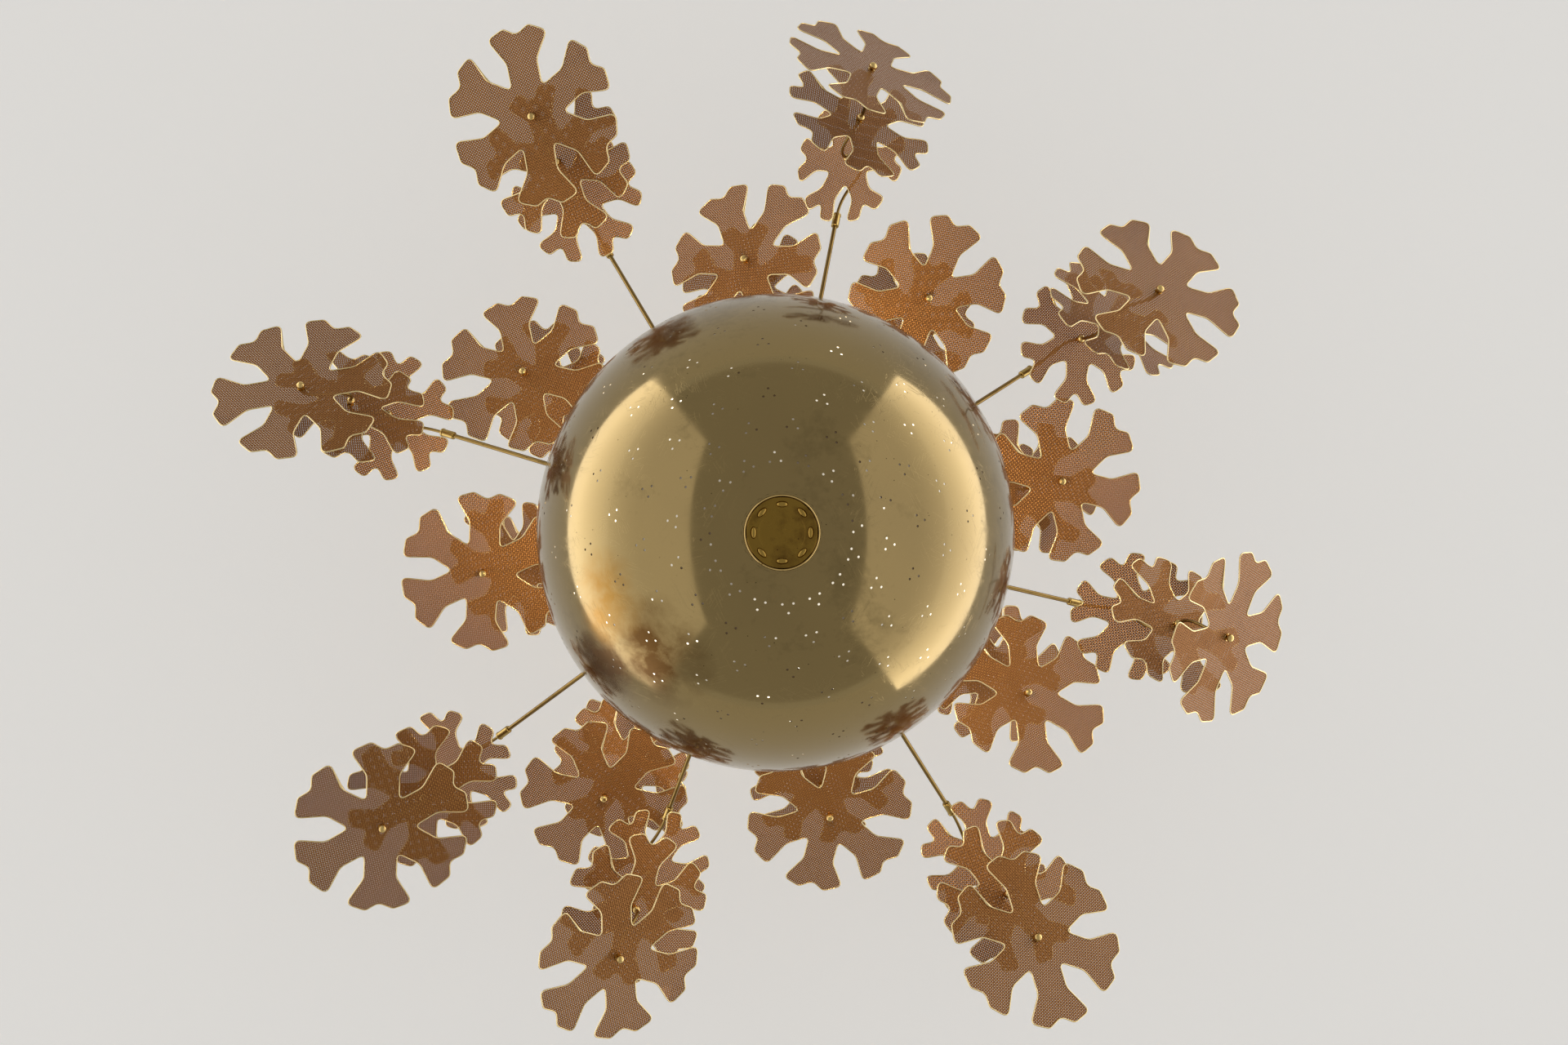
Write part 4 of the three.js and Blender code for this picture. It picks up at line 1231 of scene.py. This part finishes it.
def bulbs():
    """The bulbs: round opal glass, and a screw cap with its insulator and contact."""
    glass = list(BULB_NECK)
    for s in range(BULB_STEPS + 1):
        a = math.radians(BULB_FROM + (90 - BULB_FROM) * s / BULB_STEPS)
        radius = BULB_RADIUS * math.cos(a) if s < BULB_STEPS else 0.0
        glass.append((radius, BULB_CENTRE + BULB_RADIUS * math.sin(a)))
    shell = list(BULB_CAP_FOOT)
    for t in range(BULB_THREAD_TURNS):
        z = BULB_THREAD_LOW + BULB_THREAD_PITCH * t
        shell += [(radius, z + rise) for radius, rise in BULB_THREAD_TURN]
    shell += BULB_CAP_TOP
    for i in range(SOCKETS):
        bulb = Piece(f"bulb_{i + 1}_glass", OPAL_GLASS)
        place = socket_place(i) @ lifted(BULB_SEAT)
        bulb.add(turned(glass, 48), place=place)
        made = bulb.make(f"bulb_{i + 1}", [f"bulb_{i + 1}"])
        made.visible_shadow = False
        cap = Piece(f"bulb_{i + 1}_cap", NUT_BRASS, BLACK_INSULATOR)
        cap.add(turned(shell, 40), place=place)
        cap.add(turned(BULB_INSULATOR, 30), 1, place)
        cap.add(turned(BULB_CONTACT, 20), 0, place)
        cap.make(f"bulb_{i + 1}")


# Bowl. Its skin is meshed unrolled: flat places, whose distance from zero is the polar angle.

SKIN_RINGS = 32
SKIN_SIDES = 168
SKIN_FEWEST_SIDES = 24
SKIN_TOP = 89.2
LINING_STEPS = 40
LINING_SIDES = 160
LINING_SHORT = 0.02
BEAD_RADIUS = 2.2
BEAD_STEPS = 16
BEAD_START = -70
BEAD_TURN = 300
SEAT_THICK = 1.3


def hole_centres():
    """Directions from the bowl's middle to each light hole: rings of triads, points outwards."""
    made = []
    radius = HOLE_TRIAD_SIDE / BOWL_RADIUS / math.sqrt(3)
    for ring in range(HOLE_RINGS):
        polar = math.radians(HOLE_FIRST_RING + HOLE_RING_STEP * ring)
        for n in range(HOLE_TRIADS):
            azimuth = math.radians(HOLE_PHASES[ring % 2] + 360 / HOLE_TRIADS * n)
            out = ring_point(1, azimuth, 0)
            centre = out * math.sin(polar) - Vector((0, 0, math.cos(polar)))
            rimward = out * math.cos(polar) + Vector((0, 0, math.sin(polar)))
            sideways = centre.cross(rimward)
            for k in range(3):
                a = 2 * math.pi * k / 3
                corner = centre + rimward * (radius * math.cos(a))
                made.append((corner + sideways * (radius * math.sin(a))).normalized())
    return made


def flat_place(direction):
    """Where a direction lies when the bowl is unrolled round its lowest point."""
    polar = math.acos(max(-1.0, min(1.0, -direction.z)))
    return ring_point(polar, math.atan2(direction.y, direction.x), 0).xy


def on_bowl(flat, radius):
    """The point of the bowl that an unrolled place stands for."""
    polar = flat.length
    azimuth = math.atan2(flat.y, flat.x)
    return ring_point(math.sin(polar) * radius, azimuth, RIM_HEIGHT - radius * math.cos(polar))


def skin_rings():
    """Flat places in rings from the bowl's seat to its rim."""
    low = math.asin(SEAT_RADIUS / BOWL_RADIUS)
    high = math.radians(SKIN_TOP)
    made = []
    for ring in range(SKIN_RINGS + 1):
        polar = low + (high - low) * ring / SKIN_RINGS
        count = max(SKIN_FEWEST_SIDES, int(SKIN_SIDES * math.sin(polar)))
        if ring == SKIN_RINGS:
            count = SKIN_SIDES
        turns = [2 * math.pi * (n + 0.5 * (ring % 2)) / count for n in range(count)]
        made.append([ring_point(polar, a, 0).xy for a in turns])
    return made


def bowl_shell():
    """The bowl's outer skin with real holes. Its normals are the sphere's own."""
    rings = skin_rings()
    centres = hole_centres()
    table = np.array([tuple(flat_place(c)) for c in centres])
    sheet = rings[0] + rings[-1]
    loops = [list(range(len(rings[0]))), list(range(len(rings[0]), len(sheet)))]
    for p in (p for ring in rings[1:-1] for p in ring):
        if np.hypot(table[:, 0] - p.x, table[:, 1] - p.y).min() > HOLE_CLEAR / BOWL_RADIUS:
            sheet.append(p)
    for centre in centres:
        one = centre.orthogonal().normalized()
        two = centre.cross(one)
        loops.append(list(range(len(sheet), len(sheet) + HOLE_SIDES)))
        for s in range(HOLE_SIDES):
            a = 2 * math.pi * s / HOLE_SIDES
            away = (one * math.cos(a) + two * math.sin(a)) * (HOLE_RADIUS / BOWL_RADIUS)
            sheet.append(flat_place((centre + away).normalized()))
    edges = [(loop[i], loop[(i + 1) % len(loop)]) for loop in loops for i in range(len(loop))]
    points, _, triangles, origins, *_ = delaunay_2d_cdt(sheet, edges, [], 0, 1e-7)
    where = {old: new for new, olds in enumerate(origins) for old in olds}
    seat = set(where[i] for i in loops[0])
    hole_of = {}
    for loop in loops[2:]:
        members = set(where[i] for i in loop)
        hole_of.update((member, members) for member in members)
    kept = []
    for triangle in triangles:
        corners = set(triangle)
        if not corners <= seat and not corners <= hole_of.get(triangle[0], set()):
            kept.append(list(reversed(triangle)))
    outer = [on_bowl(p, BOWL_RADIUS) for p in points]
    normals = [(p - Vector((0, 0, RIM_HEIGHT))).normalized() for p in outer]
    piece = Piece("bowl_shell", BOWL_BRASS)
    piece.add((outer, kept))
    for centre, loop in zip(centres, loops[2:]):
        ring = [outer[where[i]] for i in loop]
        depth = centre * (SKIN_DEPTH - 0.05)
        count = len(ring)
        faces = [[i, (i + 1) % count, count + (i + 1) % count, count + i] for i in range(count)]
        piece.add((ring + [p - depth for p in ring], faces))
        middle = sum(ring, Vector()) / count
        normals += [(middle - p).normalized() for p in ring] * 2
    made = piece.make("bowl", ["bowl"], 180)
    made.data.normals_split_custom_set_from_vertices(normals)


def bowl():
    """The skin, the beaded rim, the seat for the cap, and the lit and enamelled linings."""
    bowl_shell()
    rim = Piece("bowl_rim", BOWL_BRASS)
    bead = []
    for i in range(BEAD_STEPS + 1):
        a = math.radians(BEAD_START + BEAD_TURN * i / BEAD_STEPS)
        reach = BOWL_RADIUS - BEAD_RADIUS + BEAD_RADIUS * math.cos(a)
        bead.append((reach, RIM_HEIGHT - BEAD_RADIUS + BEAD_RADIUS * math.sin(a)))
    rim.add(turned(bead, 200, closed=True))
    rim.make("bowl", sharp=180)
    foot = Piece("bowl_seat", BOWL_BRASS)
    low = -math.sqrt(BOWL_RADIUS**2 - SEAT_RADIUS**2) + RIM_HEIGHT
    high = low + SEAT_THICK
    seat = [(BOLT_BORE, low), (SEAT_RADIUS, low), (SEAT_RADIUS, high), (BOLT_BORE, high)]
    foot.turn(seat, 96, 0.2, 1, closed=True)
    foot.make("bowl")
    lining = Piece("bowl_lining", PAINTED_GLOW_LINING, WHITE_ENAMEL)
    start = math.asin((SEAT_RADIUS - 0.5) / (BOWL_RADIUS - BOWL_WALL))
    sweep = math.pi / 2 - LINING_SHORT - start
    for finish, radius in enumerate((BOWL_RADIUS - SKIN_DEPTH, BOWL_RADIUS - BOWL_WALL)):
        profile = []
        for i in range(LINING_STEPS + 1):
            a = start + sweep * i / LINING_STEPS
            profile.append((radius * math.sin(a), RIM_HEIGHT - radius * math.cos(a)))
        points, faces = turned(profile, LINING_SIDES)
        if finish == 1:
            faces = [list(reversed(face)) for face in faces]
        lining.add((points, faces), finish)
    lining.make("bowl", sharp=180)


# Cap beneath the bowl

CAP_TOP = -877.9
CAP_LOW = CAP_TOP - 10
CAP_FLOOR = CAP_LOW + 3
CAP_DISH = (
    (0, CAP_FLOOR + 0.5), (10, CAP_FLOOR + 0.35), (15.5, CAP_FLOOR), (17, CAP_FLOOR - 0.4),
    (18, CAP_FLOOR), (25.4, CAP_FLOOR), (26.8, CAP_FLOOR - 0.4), (27.5, CAP_LOW + 0.6),
    (27.7, CAP_LOW),
)
CAP_EDGE = ((27.7, CAP_LOW), (28.3, CAP_LOW), (28.6, CAP_LOW + 0.3))
CAP_SIDE = (
    (28.6, CAP_LOW + 0.3), (29.0, CAP_LOW + 1.2), (29.0, CAP_TOP - 0.8), (28.4, CAP_TOP),
    (BOLT_BORE, CAP_TOP), (BOLT_BORE, CAP_TOP - 4.9),
)
BOSSES = 8
BOSS_OUT = 21.5
BOSS_HALF_SIZE = (2.5, 4.8, 2.7)
BOSS_STEPS = 8


def bottom_cap():
    """The stamped cap: a dished face with a bright edge and eight oval bosses."""
    piece = Piece("bottom_cap_body", CAP_BRASS, NUT_BRASS, BOSS_BRASS)
    piece.turn(CAP_DISH, 112, 0.5)
    piece.turn(CAP_EDGE, 112, 0.3, finish=1)
    piece.turn(CAP_SIDE, 112, 0.4)
    dome = [(0.0, -1.0)]
    for s in range(1, BOSS_STEPS + 1):
        a = -math.pi / 2 + (math.pi / 2) * s / BOSS_STEPS
        dome.append((math.cos(a), math.sin(a)))
    for i in range(BOSSES):
        turn = Matrix.Rotation(2 * math.pi * i / BOSSES, 4, "Z")
        turn = turn @ Matrix.Translation((BOSS_OUT, 0, CAP_FLOOR))
        piece.add(turned(dome, 24), 2, turn @ Matrix.Diagonal((*BOSS_HALF_SIZE, 1.0)))
    piece.make("cap", ["bottom_cap"], 50)


# Room and lights

def one_sided(name, shade, roughness, glow):
    """A pale backdrop that is seen from its front only, so that it never hides the lamp."""
    made = Finish(name)
    tree = made.tree
    tint = tuple(c * BACKDROP_DRIFT for c in shade[:3]) + (1.0,)
    made.feed("Base Color", blended(tree, noise(tree, made.place, 3.0, 3.0), shade, tint))
    made.constant(Roughness=roughness, Specular_IOR_Level=0.1)
    made.constant(Emission_Color=shade, Emission_Strength=glow)
    clear = node_of(tree, "ShaderNodeBsdfTransparent").outputs[0]
    length = node_of(tree, "ShaderNodeLightPath").outputs["Ray Length"]
    behind = node_of(tree, "ShaderNodeNewGeometry").outputs["Backfacing"]
    passed = most(tree, behind, below(tree, length, BACKDROP_CLEAR))
    mix = node_of(tree, "ShaderNodeMixShader", {0: passed})
    tree.links.new(made.shader.outputs[0], mix.inputs[1])
    tree.links.new(clear, mix.inputs[2])
    tree.links.new(mix.outputs[0], tree.nodes["Material Output"].inputs["Surface"])
    return made.material


def backdrop(name, height, facing_up, finish):
    """A level sheet that the camera and the metal see, and that lights nothing."""
    h = ROOM_HALF
    corners = [(-h, -h, height), (h, -h, height), (h, h, height), (-h, h, height)]
    data = bpy.data.meshes.new(name)
    data.from_pydata(corners, [], [[0, 1, 2, 3] if facing_up else [3, 2, 1, 0]])
    data.materials.append(finish)
    made = bpy.data.objects.new(name, data)
    scene.collection.objects.link(made)
    made.visible_diffuse = False
    made.visible_shadow = False


def lamp_light(name, kind, watts, place, tint, turn=Matrix()):
    """A light that the camera doesn't see. It shines along its turn's third column, reversed."""
    data = bpy.data.lights.new(name, kind)
    data.energy = watts
    data.color = tint
    made = bpy.data.objects.new(name, data)
    made.matrix_world = Matrix.Translation(place) @ turn
    made.visible_camera = False
    scene.collection.objects.link(made)
    return data


def soft_box(name, side):
    """A tall soft box beside the lamp, dim at its foot and brighter towards its top."""
    height = SOFT_BOX_HIGH - SOFT_BOX_LOW
    ahead = Vector((side, 0, 0))
    along = Vector((0, -side, 0))
    turn = Matrix((along, Vector((0, 0, 1)), ahead)).transposed().to_4x4()
    place = Vector((side * SOFT_BOX_REACH, 0, (SOFT_BOX_HIGH + SOFT_BOX_LOW) / 2))
    watts_for_strength_1 = math.pi * height * SOFT_BOX_LENGTH
    data = lamp_light(name, "AREA", watts_for_strength_1, place, SOFT_BOX_TINT, turn)
    data.shape = "RECTANGLE"
    data.size = SOFT_BOX_LENGTH
    data.size_y = height
    data.use_nodes = True
    tree = data.node_tree
    z = split(tree, node_of(tree, "ShaderNodeNewGeometry").outputs["Position"])[2]
    rise = ranged(tree, z, SOFT_BOX_LOW + SOFT_BOX_FOOT, SOFT_BOX_HIGH - SOFT_BOX_HEAD)
    eased = power(tree, rise, SOFT_BOX_EASE)
    strength = ranged(tree, eased, 0.0, 1.0, SOFT_BOX_DIM, SOFT_BOX_BRIGHT)
    tree.links.new(strength, tree.nodes["Emission"].inputs["Strength"])


def bulbs_light():
    """What the bulbs give: light that leaves the bowl's mouth for the flakes, and some in it."""
    upward = Matrix.Rotation(math.pi, 4, "X")
    for i in range(SOCKETS):
        place = socket_place(i) @ Vector((0, 0, BULB_SEAT + BULB_CENTRE)) * MM
        name = f"bulb_{i + 1}"
        data = lamp_light(f"{name}_on_flakes", "SPOT", LAMPLIGHT_WATTS, place, BULB_TINT, upward)
        data.spot_size = math.radians(LAMPLIGHT_SPREAD)
        data.spot_blend = 1.0
        data.shadow_soft_size = BULB_LIGHT_RADIUS
        data = lamp_light(f"{name}_in_bowl", "POINT", BOWL_LIGHT_WATTS, place, BULB_TINT)
        data.shadow_soft_size = BULB_LIGHT_RADIUS


def pale_world():
    """A pale grey world, seen by the camera and the metal a little brighter than it shines."""
    world = bpy.data.worlds.new("pale_room")
    world.use_nodes = True
    tree = world.node_tree
    ground = tree.nodes["Background"]
    ground.inputs["Color"].default_value = WORLD_GREY
    path = node_of(tree, "ShaderNodeLightPath").outputs
    seen = most(tree, path["Is Camera Ray"], path["Is Glossy Ray"])
    seen = most(tree, seen, path["Is Transmission Ray"])
    strength = ranged(tree, seen, 0.0, 1.0, WORLD_LIGHT, WORLD_SEEN)
    tree.links.new(strength, ground.inputs["Strength"])
    scene.world = world


def room():
    """The backdrops, the world, and the lights, which light the lamp's pieces only."""
    floor = one_sided("pale_floor", colour(224, 222, 218), 0.8, FLOOR_GLOW)
    backdrop("floor", FLOOR_HEIGHT, True, floor)
    ceiling = one_sided("pale_ceiling", colour(240, 238, 234), 0.9, CEILING_GLOW)
    backdrop("ceiling", CEILING_HEIGHT, False, ceiling)
    soft_box("soft_box_left", 1)
    soft_box("soft_box_right", -1)
    bulbs_light()
    lit = bpy.data.collections.new("lit_by_the_lights")
    for made in scene.objects:
        if made.type == "MESH" and made.name not in ("floor", "ceiling"):
            lit.objects.link(made)
    for made in scene.objects:
        if made.type == "LIGHT":
            made.light_linking.receiver_collection = lit
    pale_world()


photo_camera()
ceiling_plate()
hook_link()
stem()
canopy()
all_branches()
lamp_body()
bulbs()
bowl()
bottom_cap()
room()
scene.view_settings.view_transform = "Standard"
